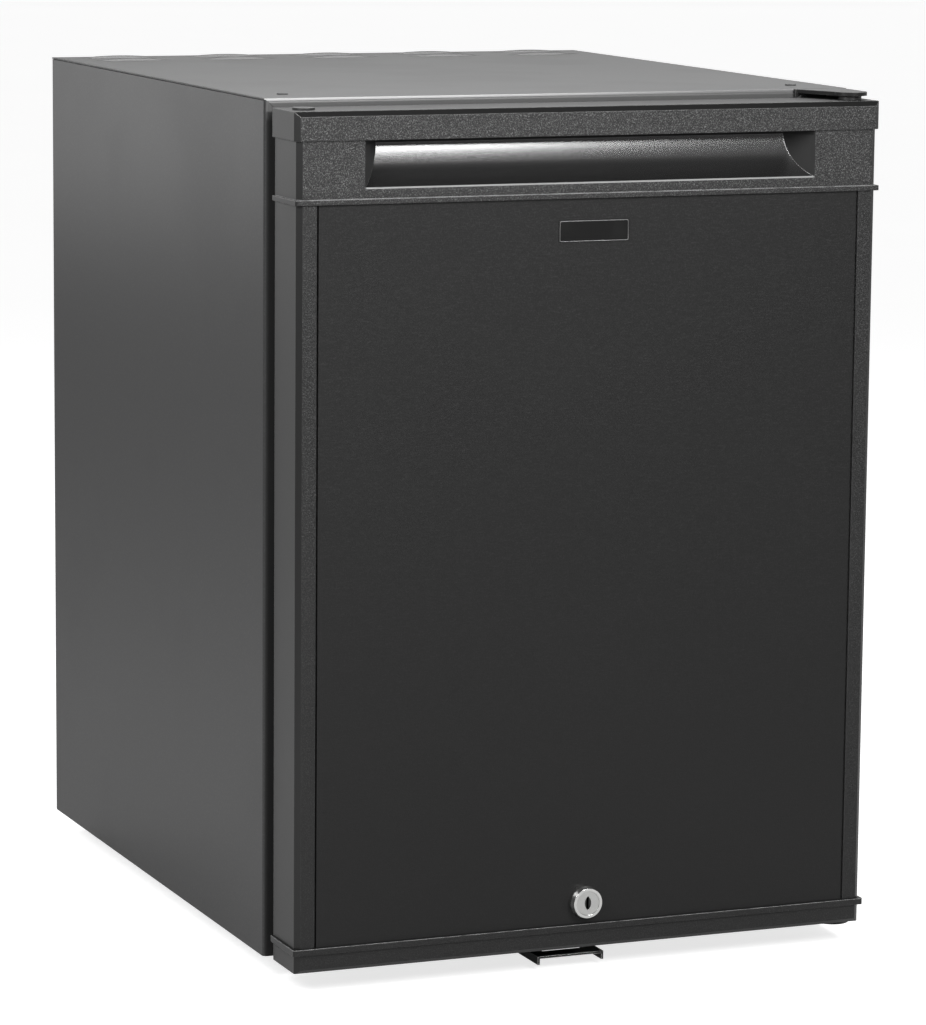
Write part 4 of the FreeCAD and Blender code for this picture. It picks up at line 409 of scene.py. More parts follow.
def cabinet_finish(name, look):
    """Satin black powder coat on steel sheet, with slight orange peel, painted glints, a little dust on top,
    painted shade beside the door, a front fascia painted lighter as if lit and a painted highlight along the
    top's front bend.
    """
    f = Finish(name)
    b = f.board
    tone = f.use("tone", Size=0.16, Amount=0.05)
    peel = f.use("grain", Size=1.3 * MM)
    rubbed = f.use("edge", Radius=0.8 * MM)
    film = f.use("dust", Amount=0.05)["Dust"]
    _, ahead, up = f.facing()
    x, y, z = f.axes()

    front = b.step(ahead, 0.6, 0.9)
    # Painted shade: the front frame's side flanges beside the door are painted near black and matt.
    gap_shade = b.product(front, b.above(b.sum("ABSOLUTE", x), FRONT_FRAME_INNER, 2.5 * MM),
                        b.below(z, FRONT_FRAME_TOP, 3.0 * MM))
    # Painted light: the fascia above the door is painted lighter, as if lit.
    lit_fascia = b.product(front, b.above(z, FASCIA_LOW, 0.75 * MM))
    # Painted highlight: a light line along the top's front bend, stronger on the left.
    bend_highlight = b.product(b.step(ahead, 0.25, 0.45), b.step(up, 0.45, 0.65),
                     b.below(y, TOP_BEND_REAR, 2.5 * MM))

    paint = f.shade(rgba(look.cabinet_colour), tone["Tone"])
    # Peel specks, a little lighter: painted glints as well as grain.
    paint = b.mix(b.product(peel["Specks_and_glints"], 0.12), paint, rgba(look.speck_and_glint_colour))
    for mask, tint in ((b.product(rubbed["Edge"], 0.3), 0.25), (film, 0.3), (gap_shade, 0.003), (lit_fascia, 0.07),
                       (b.product(bend_highlight, b.step(x, -0.1, 0.15, 0.8, 0.25)), 0.5)):
        paint = b.mix(mask, paint, grey(tint))
    shine = b.sum("ADD", b.step(tone["Smudge"], 0.0, 1.0, 0.39, 0.41), b.product(film, 0.3))
    shine = b.sum("ADD", shine, b.product(gap_shade, 0.4))
    return f.set(Base_Color=paint, Roughness=shine,
                 Normal=f.bump(peel["Relief"], 0.02 * MM, rubbed["Normal"]))


def keeper_finish(name):
    """Black keeper plate whose cut edges are rubbed to bare metal."""
    f = Finish(name, specular=0.4)
    b = f.board
    tone = f.use("tone", Size=0.02, Amount=0.15)
    rubbed = f.use("edge", Radius=0.7 * MM)
    bare = b.step(rubbed["Edge"], 0.05, 0.6)
    paint = b.mix(bare, f.shade(grey(0.01), tone["Tone"]), (0.75, 0.75, 0.74, 1.0))
    shine = b.step(tone["Smudge"], 0.0, 1.0, 0.34, 0.4)
    return f.set(Base_Color=paint, Roughness=shine, Metallic=bare, Normal=rubbed["Normal"])


def spangle_finish(name):
    """Hot-dip zinc sheet with crystal spangles, painted black along the front of the base."""
    f = Finish(name)
    b = f.board
    cells = b.add("ShaderNodeTexVoronoi", {"Vector": f.place["Object"], "Scale": 85.0}).outputs["Color"]
    spangle = b.add("ShaderNodeSeparateColor", {"Color": cells}).outputs["Red"]
    tone = f.use("tone", Size=0.1, Amount=0.2)
    zinc = f.shade(b.mix(spangle, (0.42, 0.43, 0.44, 1.0), (0.62, 0.63, 0.64, 1.0)), tone["Tone"])
    bare = b.above(f.axes()["Y"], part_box("base_panel")[0].y + BASE_PAINT_DEPTH, 0.5 * MM)
    return f.set(Base_Color=b.mix(bare, grey(0.012), zinc), Roughness=b.step(spangle, 0.0, 1.0, 0.3, 0.52),
                 Metallic=bare, Normal=f.bump(spangle, 0.008 * MM))


def foam_finish(name):
    """Sawn rigid foam with small open cells."""
    f = Finish(name, specular=0.3)
    b = f.board
    cells = b.add("ShaderNodeTexVoronoi", {"Vector": f.place["Object"], "Scale": 900.0}).outputs["Distance"]
    tone = f.use("tone", Size=0.04, Amount=0.3)
    paint = b.mix(b.step(cells, 0.1, 0.5), (0.5, 0.38, 0.2, 1.0), (0.78, 0.68, 0.46, 1.0))
    return f.set(Base_Color=f.shade(paint, tone["Tone"]), Roughness=b.step(cells, 0.0, 0.6, 0.95, 0.8),
                 Normal=f.bump(cells, 0.4 * MM))


def chrome_finish(name):
    """Polished chrome plating with faint wipe marks."""
    f = Finish(name, metallic=1.0)
    b = f.board
    tone = f.use("tone", Size=0.006, Amount=0.12)
    wiped = f.use("brushed", Stretch=(1.0, 1.0, 0.2), Scale=1400.0)["Lines"]
    rubbed = f.use("edge", Radius=0.4 * MM)
    return f.set(Base_Color=f.shade((0.72, 0.72, 0.71, 1.0), tone["Tone"]),
                 Roughness=b.step(wiped, 0.35, 0.7, 0.12, 0.2),
                 Normal=f.bump(wiped, 0.0005 * MM, rubbed["Normal"]))


def lock_face_finish(name):
    """Satin nickel face of the lock, with painted shade in the recess round its key slot."""
    f = Finish(name, metallic=1.0)
    b = f.board
    tone = f.use("tone", Size=0.006, Amount=0.1)
    rubbed = f.use("edge", Radius=0.3 * MM)
    # Painted shade: the face in the recess round the key slot is painted dark grey.
    recess_shade = b.above(f.axes()["Y"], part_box("lock_plug")[0].y + KEY_RECESS_DEPTH, 0.175 * MM)
    paint = b.mix(recess_shade, f.shade((0.6, 0.6, 0.59, 1.0), tone["Tone"]), grey(0.06))
    shine = b.step(tone["Smudge"], 0.0, 1.0, 0.3, 0.36)
    return f.set(Base_Color=paint, Roughness=shine, Normal=rubbed["Normal"])


def clear_finish(name, colour, rough, rib=0.0):
    """Clear moulded plastic with flow marks, fine scratches and, on a lens, prism ribs."""
    f = Finish(name, Transmission_Weight=1.0, IOR=1.49)
    b = f.board
    tone = f.use("tone", Size=0.02, Amount=0.06)
    scratches = f.use("brushed", Stretch=(1.0, 1.0, 0.1), Scale=500.0)["Lines"]
    rubbed = f.use("edge", Radius=0.5 * MM)
    shine = b.step(scratches, 0.55, 0.75, rough, rough + 0.12)
    height = b.product(scratches, 0.2)
    depth = 0.03 * MM
    if rib > 0:
        height = b.sum("ADD", height, b.sum("SINE", b.product(f.axes()["Y"], 2 * math.pi / rib)))
        depth = 0.4 * MM
    return f.set(Base_Color=f.shade(rgba(colour), tone["Tone"]), Roughness=shine,
                 Normal=f.bump(height, depth, rubbed["Normal"]))


def make_finishes(look):
    """All finishes, most of them under the name of the record's material slot."""
    white = {"colour": (0.72, 0.72, 0.7), "rough": (0.3, 0.42), "drift": 0.06, "grain": 2.0 * MM,
             "depth": 0.03 * MM, "edge_light": 0.1}
    return {
        "cabinet_paint": cabinet_finish("satin_black_coat", look),
        "zinc_sheet": spangle_finish("zinc_sheet"),
        "liner_white": plain_finish("formed_white_liner", drift_size=0.15, edge=1.0 * MM, **white),
        "door_liner": plain_finish("formed_door_liner", drift_size=0.12, edge=1.5 * MM, **white),
        "foam": foam_finish("rigid_foam"),
        "steel_screw": brushed_finish("plated_screw", (0.55, 0.55, 0.53), (1.0, 1.0, 1.0), rough=(0.28, 0.45),
                                      scale=2500.0),
        "rubber_foot": plain_finish("foot_rubber", (0.018, 0.018, 0.018), rough=(0.6, 0.8), drift=0.3,
                                    drift_size=0.01, grain=0.5 * MM, depth=0.04 * MM, edge_light=0.06,
                                    dust=0.15, specular=0.35),
        "hinge_black": plain_finish("black_hinge_steel", (0.01, 0.01, 0.01), rough=(0.36, 0.42), drift=0.1,
                                    drift_size=0.02, grain=0.9 * MM, depth=0.01 * MM, edge_light=0.3,
                                    specular=0.35),
        "keeper_steel": keeper_finish("black_keeper"),
        "lock_face": lock_face_finish("satin_lock_face"),
        "badge_rim": plain_finish("badge_rim", (0.3, 0.3, 0.3), rough=(0.34, 0.42), drift=0.1,
                                  drift_size=0.01, grain=2.0 * MM, depth=0.004 * MM, edge=0.2 * MM,
                                  edge_light=0.3, metallic=1.0),
        "bright_steel": brushed_finish("turned_steel", (0.6, 0.6, 0.6), (1.0, 1.0, 12.0), rough=(0.24, 0.34),
                                       scale=700.0, depth=0.003 * MM),
        "shelf_wire": plain_finish("coated_shelf_wire", (0.74, 0.74, 0.72), rough=(0.25, 0.36), drift=0.08,
                                   drift_size=0.03, grain=3.0 * MM, depth=0.05 * MM, edge=0.6 * MM,
                                   edge_light=0.1),
        "fin_aluminium": brushed_finish("fin_aluminium", (0.78, 0.79, 0.8), (1.0, 1.0, 0.05),
                                        rough=(0.28, 0.42)),
        "unit_black": plain_finish("lacquered_tube", (0.016, 0.016, 0.017), rough=(0.3, 0.5), drift=0.35,
                                   drift_size=0.02, grain=1.6 * MM, depth=0.06 * MM, edge=0.8 * MM,
                                   edge_light=0.12, dust=0.12),
        "jacket_tin": plain_finish("tinned_jacket", (0.5, 0.5, 0.49), rough=(0.3, 0.5), drift_size=0.03,
                                   grain=6.0 * MM, depth=0.2 * MM, edge=0.8 * MM, edge_light=0.4, dust=0.1,
                                   metallic=1.0),
        "box_grey": plain_finish("grey_box", (0.2, 0.205, 0.21), rough=(0.42, 0.55), drift=0.12,
                                 drift_size=0.04, grain=0.9 * MM, depth=0.04 * MM, edge=0.8 * MM,
                                 edge_light=0.2, dust=0.1),
        "lamp_clear": clear_finish("ribbed_lamp_lens", (0.92, 0.92, 0.9), 0.18, rib=2.5 * MM),
        "housing_white": plain_finish("white_housing", (0.7, 0.7, 0.68), rough=(0.36, 0.46), drift=0.06,
                                      drift_size=0.05, grain=0.7 * MM, depth=0.03 * MM, edge=0.8 * MM,
                                      edge_light=0.1),
        "knob_grey": plain_finish("grey_knob", (0.3, 0.31, 0.32), rough=(0.36, 0.48), drift=0.12,
                                  drift_size=0.01, grain=0.6 * MM, depth=0.03 * MM),
        "trim_black": trim_finish("moulded_black_trim", look),
        "panel_black": panel_finish("decor_panel", look),
        "badge_black": plain_finish("gloss_black", (0.004, 0.004, 0.004), rough=(0.3, 0.34), drift=0.1,
                                    drift_size=0.02, grain=4.0 * MM, depth=0.004 * MM, edge=0.3 * MM,
                                    edge_light=0.3, specular=0.35),
        "gasket_black": plain_finish("seal_rubber", (0.012, 0.012, 0.012), rough=(0.5, 0.66), drift=0.3,
                                     drift_size=0.02, grain=1.2 * MM, depth=0.03 * MM, edge=0.4 * MM,
                                     edge_light=0.05, specular=0.4),
        "magnet": plain_finish("ferrite_strip", (0.04, 0.038, 0.036), rough=(0.6, 0.75), drift=0.3,
                               drift_size=0.01, grain=0.6 * MM, depth=0.05 * MM),
        "nylon": plain_finish("black_nylon", (0.022, 0.022, 0.022), drift_size=0.01, rough=(0.4, 0.52),
                              grain=0.6 * MM, edge=0.4 * MM, edge_light=0.15),
        "lock_chrome": chrome_finish("polished_chrome"),
        "bin_clear": clear_finish("clear_bin", (0.93, 0.95, 0.95), 0.05),
    }


# Mesh helpers

FINISHES = {}


def piece_from(name, shape, body, slot, finish=None, smooth_angle=35.0):
    """Mesh object that rides on a body, in the finish of the named slot unless another finish is named."""
    mesh = bpy.data.meshes.new(name)
    vertices, faces = shape
    mesh.from_pydata(vertices, [], faces)
    mesh.validate()
    builder = bmesh.new()
    builder.from_mesh(mesh)
    bmesh.ops.recalc_face_normals(builder, faces=builder.faces)
    builder.to_mesh(mesh)
    builder.free()
    mesh.shade_smooth()
    mesh.set_sharp_from_angle(angle=math.radians(smooth_angle))
    mesh.materials.append(FINISHES[finish or slot])
    piece = bpy.data.objects.new(name, mesh)
    bpy.context.scene.collection.objects.link(piece)
    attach(piece, body)
    return piece


def closed_sweep(rings):
    """Vertices and faces of a tube through closed rings that join up end to end."""
    vertices = [point for ring in rings for point in ring]
    faces = []
    count = len(rings[0])
    for i in range(len(rings)):
        j = (i + 1) % len(rings)
        for k in range(count):
            m = (k + 1) % count
            faces.append((i * count + k, i * count + m, j * count + m, j * count + k))
    return vertices, faces


def lathe(profile, centre, steps, flutes=0, flute_depth=0.0, flute_span=(0.0, 0.0)):
    """Turned shape about the Z axis, from the axis at the first point to the axis at the last."""
    vertices = []
    faces = []
    rows = []
    for radius, height in profile:
        if radius == 0:
            rows.append([len(vertices)])
            vertices.append((centre[0], centre[1], centre[2] + height))
            continue
        row = []
        fluted = flute_span[0] < height < flute_span[1]
        for i in range(steps):
            angle = 2 * math.pi * i / steps
            r = radius - flute_depth * (0.5 + 0.5 * math.cos(flutes * angle)) if fluted else radius
            row.append(len(vertices))
            vertices.append((centre[0] + r * math.cos(angle), centre[1] + r * math.sin(angle),
                             centre[2] + height))
        rows.append(row)
    for first, second in zip(rows, rows[1:]):
        for i in range(steps):
            j = (i + 1) % steps
            if len(first) == 1:
                faces.append((first[0], second[i], second[j]))
            elif len(second) == 1:
                faces.append((first[i], second[0], first[j]))
            else:
                faces.append((first[i], second[i], second[j], first[j]))
    return vertices, faces


def ring_bead(centre, axis, radius, bead, steps=40, around=8, ripple=0.18):
    """Weld bead: a ring about an axis whose bead swells and shrinks in ripples."""
    turn = Vector((0, 0, 1)).rotation_difference(Vector(axis))
    rings = []
    for i in range(steps):
        angle = 2 * math.pi * i / steps
        size = bead * (1 + ripple * math.sin(angle * 9) + ripple * 0.6 * math.sin(angle * 4 + 1))
        out = Vector((math.cos(angle), math.sin(angle), 0))
        ring = []
        for k in range(around):
            lean = 2 * math.pi * k / around
            local = out * (radius + size * math.cos(lean)) + Vector((0, 0, size * 1.5 * math.sin(lean)))
            ring.append(tuple(Vector(centre) + turn @ local))
        rings.append(ring)
    return closed_sweep(rings)


def merge(shapes):
    """One list of vertices and faces from several."""
    vertices = []
    faces = []
    for points, polygons in shapes:
        start = len(vertices)
        vertices += points
        faces += [tuple(index + start for index in polygon) for polygon in polygons]
    return vertices, faces


BLOCK_FACES = [(0, 1, 3, 2), (4, 6, 7, 5), (0, 4, 5, 1), (2, 3, 7, 6), (0, 2, 6, 4), (1, 5, 7, 3)]


def block(low, high):
    """Eight-cornered block between two corners, with its faces."""
    xs, ys, zs = zip(low, high)
    return [(x, y, z) for x in xs for y in ys for z in zs], BLOCK_FACES


def dress(finish, *names):
    """Puts a finish on CAD nodes."""
    for name in names:
        node = NODES[name]
        if not node.data.materials:
            node.data.materials.append(FINISHES[finish])
        for slot in node.material_slots:
            slot.material = FINISHES[finish]


# Settings

class FridgeLook(bpy.types.PropertyGroup):
    """Colours and grain of the fridge's finishes"""

    cabinet_colour: FloatVectorProperty(
        name="Cabinet", description="Coat of the steel cabinet", subtype="COLOR", size=3, min=0, max=1,
        default=(0.017, 0.017, 0.0174))
    trim_colour: FloatVectorProperty(
        name="Trim", description="Moulded trim of the door", subtype="COLOR", size=3, min=0, max=1,
        default=(0.005, 0.005, 0.005))
    # Bright specks of the grain, painted lighter: grain texture and painted glints.
    speck_and_glint_colour: FloatVectorProperty(
        name="Specks_and_glints", description="Bright specks of the moulded grain", subtype="COLOR", size=3, min=0,
        max=1, default=(0.2, 0.2, 0.2))
    panel_colour: FloatVectorProperty(
        name="Panel", description="Decor sheet of the door", subtype="COLOR", size=3, min=0, max=1,
        default=(0.0095, 0.0095, 0.0095))
    # Lighter threads and specks of the decor sheet: weave texture and painted glints, stronger towards the
    # top.
    panel_thread_glint_colour: FloatVectorProperty(
        name="Panel grain", description="Lighter threads of the decor sheet", subtype="COLOR", size=3, min=0,
        max=1, default=(0.04, 0.04, 0.04))
    trim_grain: FloatProperty(
        name="Trim grain", description="Width of one pit of the trim's grain", subtype="DISTANCE",
        unit="LENGTH", min=0.1 * MM, default=0.8 * MM)
    panel_grain: FloatProperty(
        name="Panel grain size", description="Width of one pit of the decor sheet's grain",
        subtype="DISTANCE", unit="LENGTH", min=0.1 * MM, default=0.9 * MM)
    scoop_tint: FloatProperty(
        name="Scoop tint", description="Grey of the polished finger scoop", subtype="FACTOR", min=0, max=1,
        default=0.26)
    scoop_metal: FloatProperty(
        name="Scoop gloss", description="How far the finger scoop mirrors like metal", subtype="FACTOR",
        min=0, max=1, default=0.948)


class FridgeSizes(bpy.types.PropertyGroup):
    """Sizes of the pieces that are made here"""

    seal_wave: FloatProperty(
        name="Seal wave", description="How far the soft seal wanders from a straight line",
        subtype="DISTANCE", unit="LENGTH", min=0, default=0.25 * MM)
    foot_flutes: IntProperty(
        name="Foot flutes", description="Grip grooves round each foot", min=8, default=28)
    bead_size: FloatProperty(
        name="Weld bead", description="Half width of the weld beads of the cooling unit", subtype="DISTANCE",
        unit="LENGTH", min=0.5 * MM, default=1.6 * MM)
    badge_rim: FloatProperty(
        name="Badge rim", description="Width of the bright rim of the blank badge", subtype="DISTANCE",
        unit="LENGTH", min=0.2 * MM, default=0.4 * MM)


class StudioSettings(bpy.types.PropertyGroup):
    """Camera and light of the studio"""

    camera_place: FloatVectorProperty(
        name="Camera", description="Place of the camera", subtype="TRANSLATION", size=3, unit="LENGTH",
        default=(-1.1355, -2.81605, 0.7467))
    yaw: FloatProperty(
        name="Yaw", description="Turn of the camera to the right", subtype="ANGLE",
        default=math.radians(22.206))
    pitch: FloatProperty(
        name="Pitch", description="Tilt of the camera downwards", subtype="ANGLE",
        default=math.radians(9.088))
    roll: FloatProperty(
        name="Roll", description="Turn of the camera about its line of sight", subtype="ANGLE",
        default=math.radians(0.517))
    focal_pixels: FloatProperty(
        name="Focal length", description="Focal length in pixels of the full image", min=1, default=4491.6)
    sky_strength: FloatProperty(name="Sky", description="Strength of the even light", min=0, default=0.37)
    front_power: FloatProperty(
        name="Front", description="Power of the tall front lamp", unit="POWER", min=0, default=25.0)
    top_power: FloatProperty(
        name="Top", description="Power of the lamp overhead", unit="POWER", min=0, default=24.0)
    fill_power: FloatProperty(
        name="Fill", description="Power of the lamp over the floor on the left", unit="POWER", min=0,
        default=11.0)
    side_power: FloatProperty(
        name="Side", description="Power of the lamp behind the left side", unit="POWER", min=0, default=1.0)


# Operators

class FRIDGE_OT_cabinet(bpy.types.Operator):
    """Finishes the sheets, walls, hinges and screws of the cabinet"""

    bl_idname = "fridge.cabinet"
    bl_label = "Cabinet"

    def execute(self, context):
        dress("cabinet_paint", "top_panel", "left_side_panel", "right_side_panel", "top_screws")
        dress("zinc_sheet", "base_panel", "rear_panel")
        dress("foam", "cabinet_foam", "door_foam", "evaporator_plug")
        dress("steel_screw", "keeper_screws", "evaporator_screws")
        dress("hinge_black", "upper_hinge_bracket", "lower_hinge_bracket", "hinge_pins", "hinge_screws")
        dress("keeper_steel", "lock_keeper")
        return {"FINISHED"}


class FRIDGE_OT_feet(bpy.types.Operator):
    """Turns four fluted rubber feet"""

    bl_idname = "fridge.feet"
    bl_label = "Feet"

    def execute(self, context):
        low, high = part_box("feet")
        tall = high.z - low.z
        profile = [(0.0, 15.0), (17.0, 15.0), (17.0, 12.6), (16.6, 12.0), (15.7, 11.5), (15.3, 10.8),
                   (15.1, 9.0), (14.8, 6.0), (14.5, 3.2), (14.2, 1.4), (13.7, 0.5), (12.8, 0.0), (9.6, 0.0),
                   (9.0, 0.3), (8.6, 1.4), (8.2, 1.7), (4.4, 1.9), (4.1, 2.4), (4.0, 5.6), (0.0, 5.8)]
        radius = profile[1][0] * MM
        stretch = tall / profile[0][1]
        scaled = [(r * MM, h * stretch) for r, h in profile]
        flutes = context.scene.fridge_sizes.foot_flutes
        flute_depth = 0.7 * MM
        flute_span = (2.0 * MM, 11.2 * MM)
        feet = [lathe(scaled, (x, y, low.z), 4 * flutes, flutes, flute_depth, flute_span)
                for x in (low.x + radius, high.x - radius) for y in (low.y + radius, high.y - radius)]
        piece = piece_from("rubber_feet", merge(feet), "cabinet", "rubber_foot")
        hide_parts("feet")
        return {"FINISHED"}


class FRIDGE_OT_door(bpy.types.Operator):
    """Finishes the door's trim, panel and inner side, and rims its blank badge"""

    bl_idname = "fridge.door"
    bl_label = "Door"

    def execute(self, context):
        dress("trim_black", "door_top_cap", "door_handle_rail", "door_left_stile", "door_right_stile",
              "door_bottom_rail")
        dress("panel_black", "door_panel")
        dress("badge_black", "badge_plate")
        dress("door_liner", "door_inner_liner")
        dress("magnet", "gasket_magnets")
        dress("nylon", "hinge_bushes", "hinge_hole_plug")
        self.badge_rim(context.scene.fridge_sizes.badge_rim)
        return {"FINISHED"}

    def badge_rim(self, width):
        low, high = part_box("badge_plate")
        corner = 1.2 * MM
        shoulder = 0.2 * MM
        crown = 0.32 * MM
        turns = 6
        rings = []
        centres = [(high.x - corner, high.z - corner, 0), (low.x + corner, high.z - corner, 90),
                   (low.x + corner, low.z + corner, 180), (high.x - corner, low.z + corner, 270)]
        section = [(0.0, 0.0), (0.0, shoulder), (0.3 * width, crown), (0.7 * width, crown), (width, shoulder),
                   (width, 0.0)]
        for cx, cz, start in centres:
            for i in range(turns + 1):
                angle = math.radians(start + 90 * i / turns)
                out = Vector((math.cos(angle), 0, math.sin(angle)))
                rings.append([tuple(Vector((cx, low.y - rise, cz)) + out * (corner - inset))
                              for inset, rise in section])
        piece_from("badge_rim", closed_sweep(rings), "door", "lock_chrome", "badge_rim")


class FRIDGE_OT_seal(bpy.types.Operator):
    """Sweeps the soft bellows seal round the door"""

    bl_idname = "fridge.seal"
    bl_label = "Seal"

    def execute(self, context):
        low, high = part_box("door_gasket")
        middle = (low + high) / 2
        section = [(0.9, 0.0), (13.1, 0.0), (13.6, 0.5), (13.3, 1.1), (11.6, 1.5), (10.5, 2.0), (10.7, 2.5),
                   (12.6, 3.0), (13.2, 3.5), (12.6, 4.0), (12.4, 4.3), (13.5, 4.8), (14.0, 5.6), (14.0, 7.6),
                   (13.6, 8.4), (12.6, 8.7), (9.4, 8.6), (7.0, 8.45), (4.6, 8.6), (1.4, 8.7), (0.4, 8.4),
                   (0.0, 7.6), (0.0, 5.6), (0.5, 4.8), (1.6, 4.3), (1.4, 4.0), (0.8, 3.5), (1.4, 3.0),
                   (3.3, 2.5), (3.5, 2.0), (2.4, 1.5), (0.7, 1.1), (0.4, 0.5)]
        stretch = (high.y - low.y) / max(rise for _, rise in section)
        wave = context.scene.fridge_sizes.seal_wave
        ripple = 23.0
        steps = 36
        corners = [(low.x, low.z), (high.x, low.z), (high.x, high.z), (low.x, high.z)]
        rings = []
        for i, (x0, z0) in enumerate(corners):
            x1, z1 = corners[(i + 1) % len(corners)]
            for k in range(steps):
                share = k / steps
                x = x0 + (x1 - x0) * share
                z = z0 + (z1 - z0) * share
                sway = wave * math.sin(math.pi * share) * (1 + math.sin(share * ripple + i)) / 2
                ring = []
                for inset, rise in section:
                    reach = inset * MM
                    if k == 0:
                        px = x + math.copysign(reach, middle.x - x)
                        pz = z + math.copysign(reach, middle.z - z)
                    elif z0 == z1:
                        px = min(max(x, low.x + reach), high.x - reach)
                        pz = z + math.copysign(reach + sway, middle.z - z)
                    else:
                        px = x + math.copysign(reach + sway, middle.x - x)
                        pz = min(max(z, low.z + reach), high.z - reach)
                    ring.append((px, low.y + rise * stretch, pz))
                rings.append(ring)
        seal = piece_from("door_seal", closed_sweep(rings), "door", "gasket_black", smooth_angle=50.0)
        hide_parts("door_gasket")
        return {"FINISHED"}


class FRIDGE_OT_lock(bpy.types.Operator):
    """Finishes the chrome cam lock"""

    bl_idname = "fridge.lock"
    bl_label = "Lock"

    def execute(self, context):
        dress("lock_chrome", "lock_body")
        dress("lock_face", "lock_plug")
        dress("bright_steel", "lock_nut", "cam_screw", "lock_cam")
        dress("nylon", "lock_pocket")
        return {"FINISHED"}


class FRIDGE_OT_inside(bpy.types.Operator):
    """Finishes the inside and marks the thermostat's dial"""

    bl_idname = "fridge.inside"
    bl_label = "Inside"

    def execute(self, context):
        dress("liner_white", "inner_liner")
        dress("shelf_wire", "lower_shelf", "upper_shelf")
        dress("fin_aluminium", "evaporator_fins")
        dress("housing_white", "control_housing")
        dress("lamp_clear", "lamp_lens")
        dress("knob_grey", "thermostat_knob")
        self.dial_marks()
        return {"FINISHED"}

    def dial_marks(self):
        low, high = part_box("thermostat_knob")
        cy, cz = (low.y + high.y) / 2, (low.z + high.z) / 2
        centre = Vector((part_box("control_housing")[0].x, cy, cz))
        inner, outer, raised = 16.2 * MM, 19.2 * MM, Vector((-0.2 * MM, 0, 0))
        marks = []
        for i in range(7):
            angle = math.radians(225 - 45 * i)
            half = (0.4 + 0.16 * i) * MM
            out = Vector((0, math.cos(angle), math.sin(angle)))
            across = Vector((0, -out.z, out.y))
            corners = [tuple(centre + out * reach + across * side * half + lift)
                       for lift in (Vector(), raised) for reach in (inner, outer) for side in (-1, 1)]
            marks.append((corners, BLOCK_FACES))
        piece_from("dial_marks", merge(marks), "cabinet", "knob_grey")
        half, thick, near, far = 0.7 * MM, 0.15 * MM, 2.0 * MM, 10.5 * MM
        pointer = block((low.x - thick, cy - half, cz + near), (low.x, cy + half, cz + far))
        piece_from("knob_pointer", pointer, "knob", "housing_white")


class FRIDGE_OT_bins(bpy.types.Operator):
    """Finishes the clear bins of the door"""

    bl_idname = "fridge.bins"
    bl_label = "Bins"

    def execute(self, context):
        dress("bin_clear", "lower_bin", "upper_bin")
        return {"FINISHED"}


class FRIDGE_OT_cooling_unit(bpy.types.Operator):
    """Finishes the cooling unit on the back and welds its tubes"""

    bl_idname = "fridge.cooling_unit"
    bl_label = "Cooling unit"

    def execute(self, context):
        dress("unit_black", "evaporator_tube", "condenser_tube", "absorber_coil", "absorber_vessel",
              "solution_pipe", "unit_brackets")
        dress("fin_aluminium", "condenser_fins")
        dress("jacket_tin", "boiler_jacket")
        dress("bright_steel", "heater_cartridge", "inlet_pins")
        dress("box_grey", "control_box", "control_box_lid")
        dress("badge_black", "power_inlet")
        self.weld_beads(context.scene.fridge_sizes.bead_size)
        return {"FINISHED"}

    def weld_beads(self, bead):
        boiler_low, boiler_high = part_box("boiler_jacket")
        vessel_low, vessel_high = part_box("absorber_vessel")
        tube_low, tube_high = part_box("condenser_tube")
        coil_low, coil_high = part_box("absorber_coil")
        y = (tube_low.y + tube_high.y) / 2
        tube = (tube_high.y - tube_low.y) / 2
        coil = (coil_high.y - coil_low.y) / 2
        vessel = (vessel_high.z - vessel_low.z) / 2
        vessel_z = (vessel_low.z + vessel_high.z) / 2
        boiler_x = (boiler_low.x + boiler_high.x) / 2
        pipe = 9.0 * MM
        dome = 10.0 * MM
        recess_shade = vessel - 0.4 * MM
        beads = [
            ring_bead((boiler_x, y, boiler_high.z), (0, 0, 1), tube, bead),
            ring_bead((boiler_x, y, boiler_low.z), (0, 0, 1), pipe, bead),
            ring_bead((coil_low.x + coil, y, coil_high.z), (0, 0, 1), coil, bead),
            ring_bead((vessel_high.x, y, vessel_z), (1, 0, 0), pipe, bead),
            ring_bead((vessel_low.x + dome, y, vessel_z), (1, 0, 0), recess_shade, bead * 0.8, steps=64),
            ring_bead((vessel_high.x - dome, y, vessel_z), (1, 0, 0), recess_shade, bead * 0.8, steps=64),
        ]
        piece_from("weld_beads", merge(beads), "cabinet", "unit_black", smooth_angle=60.0)


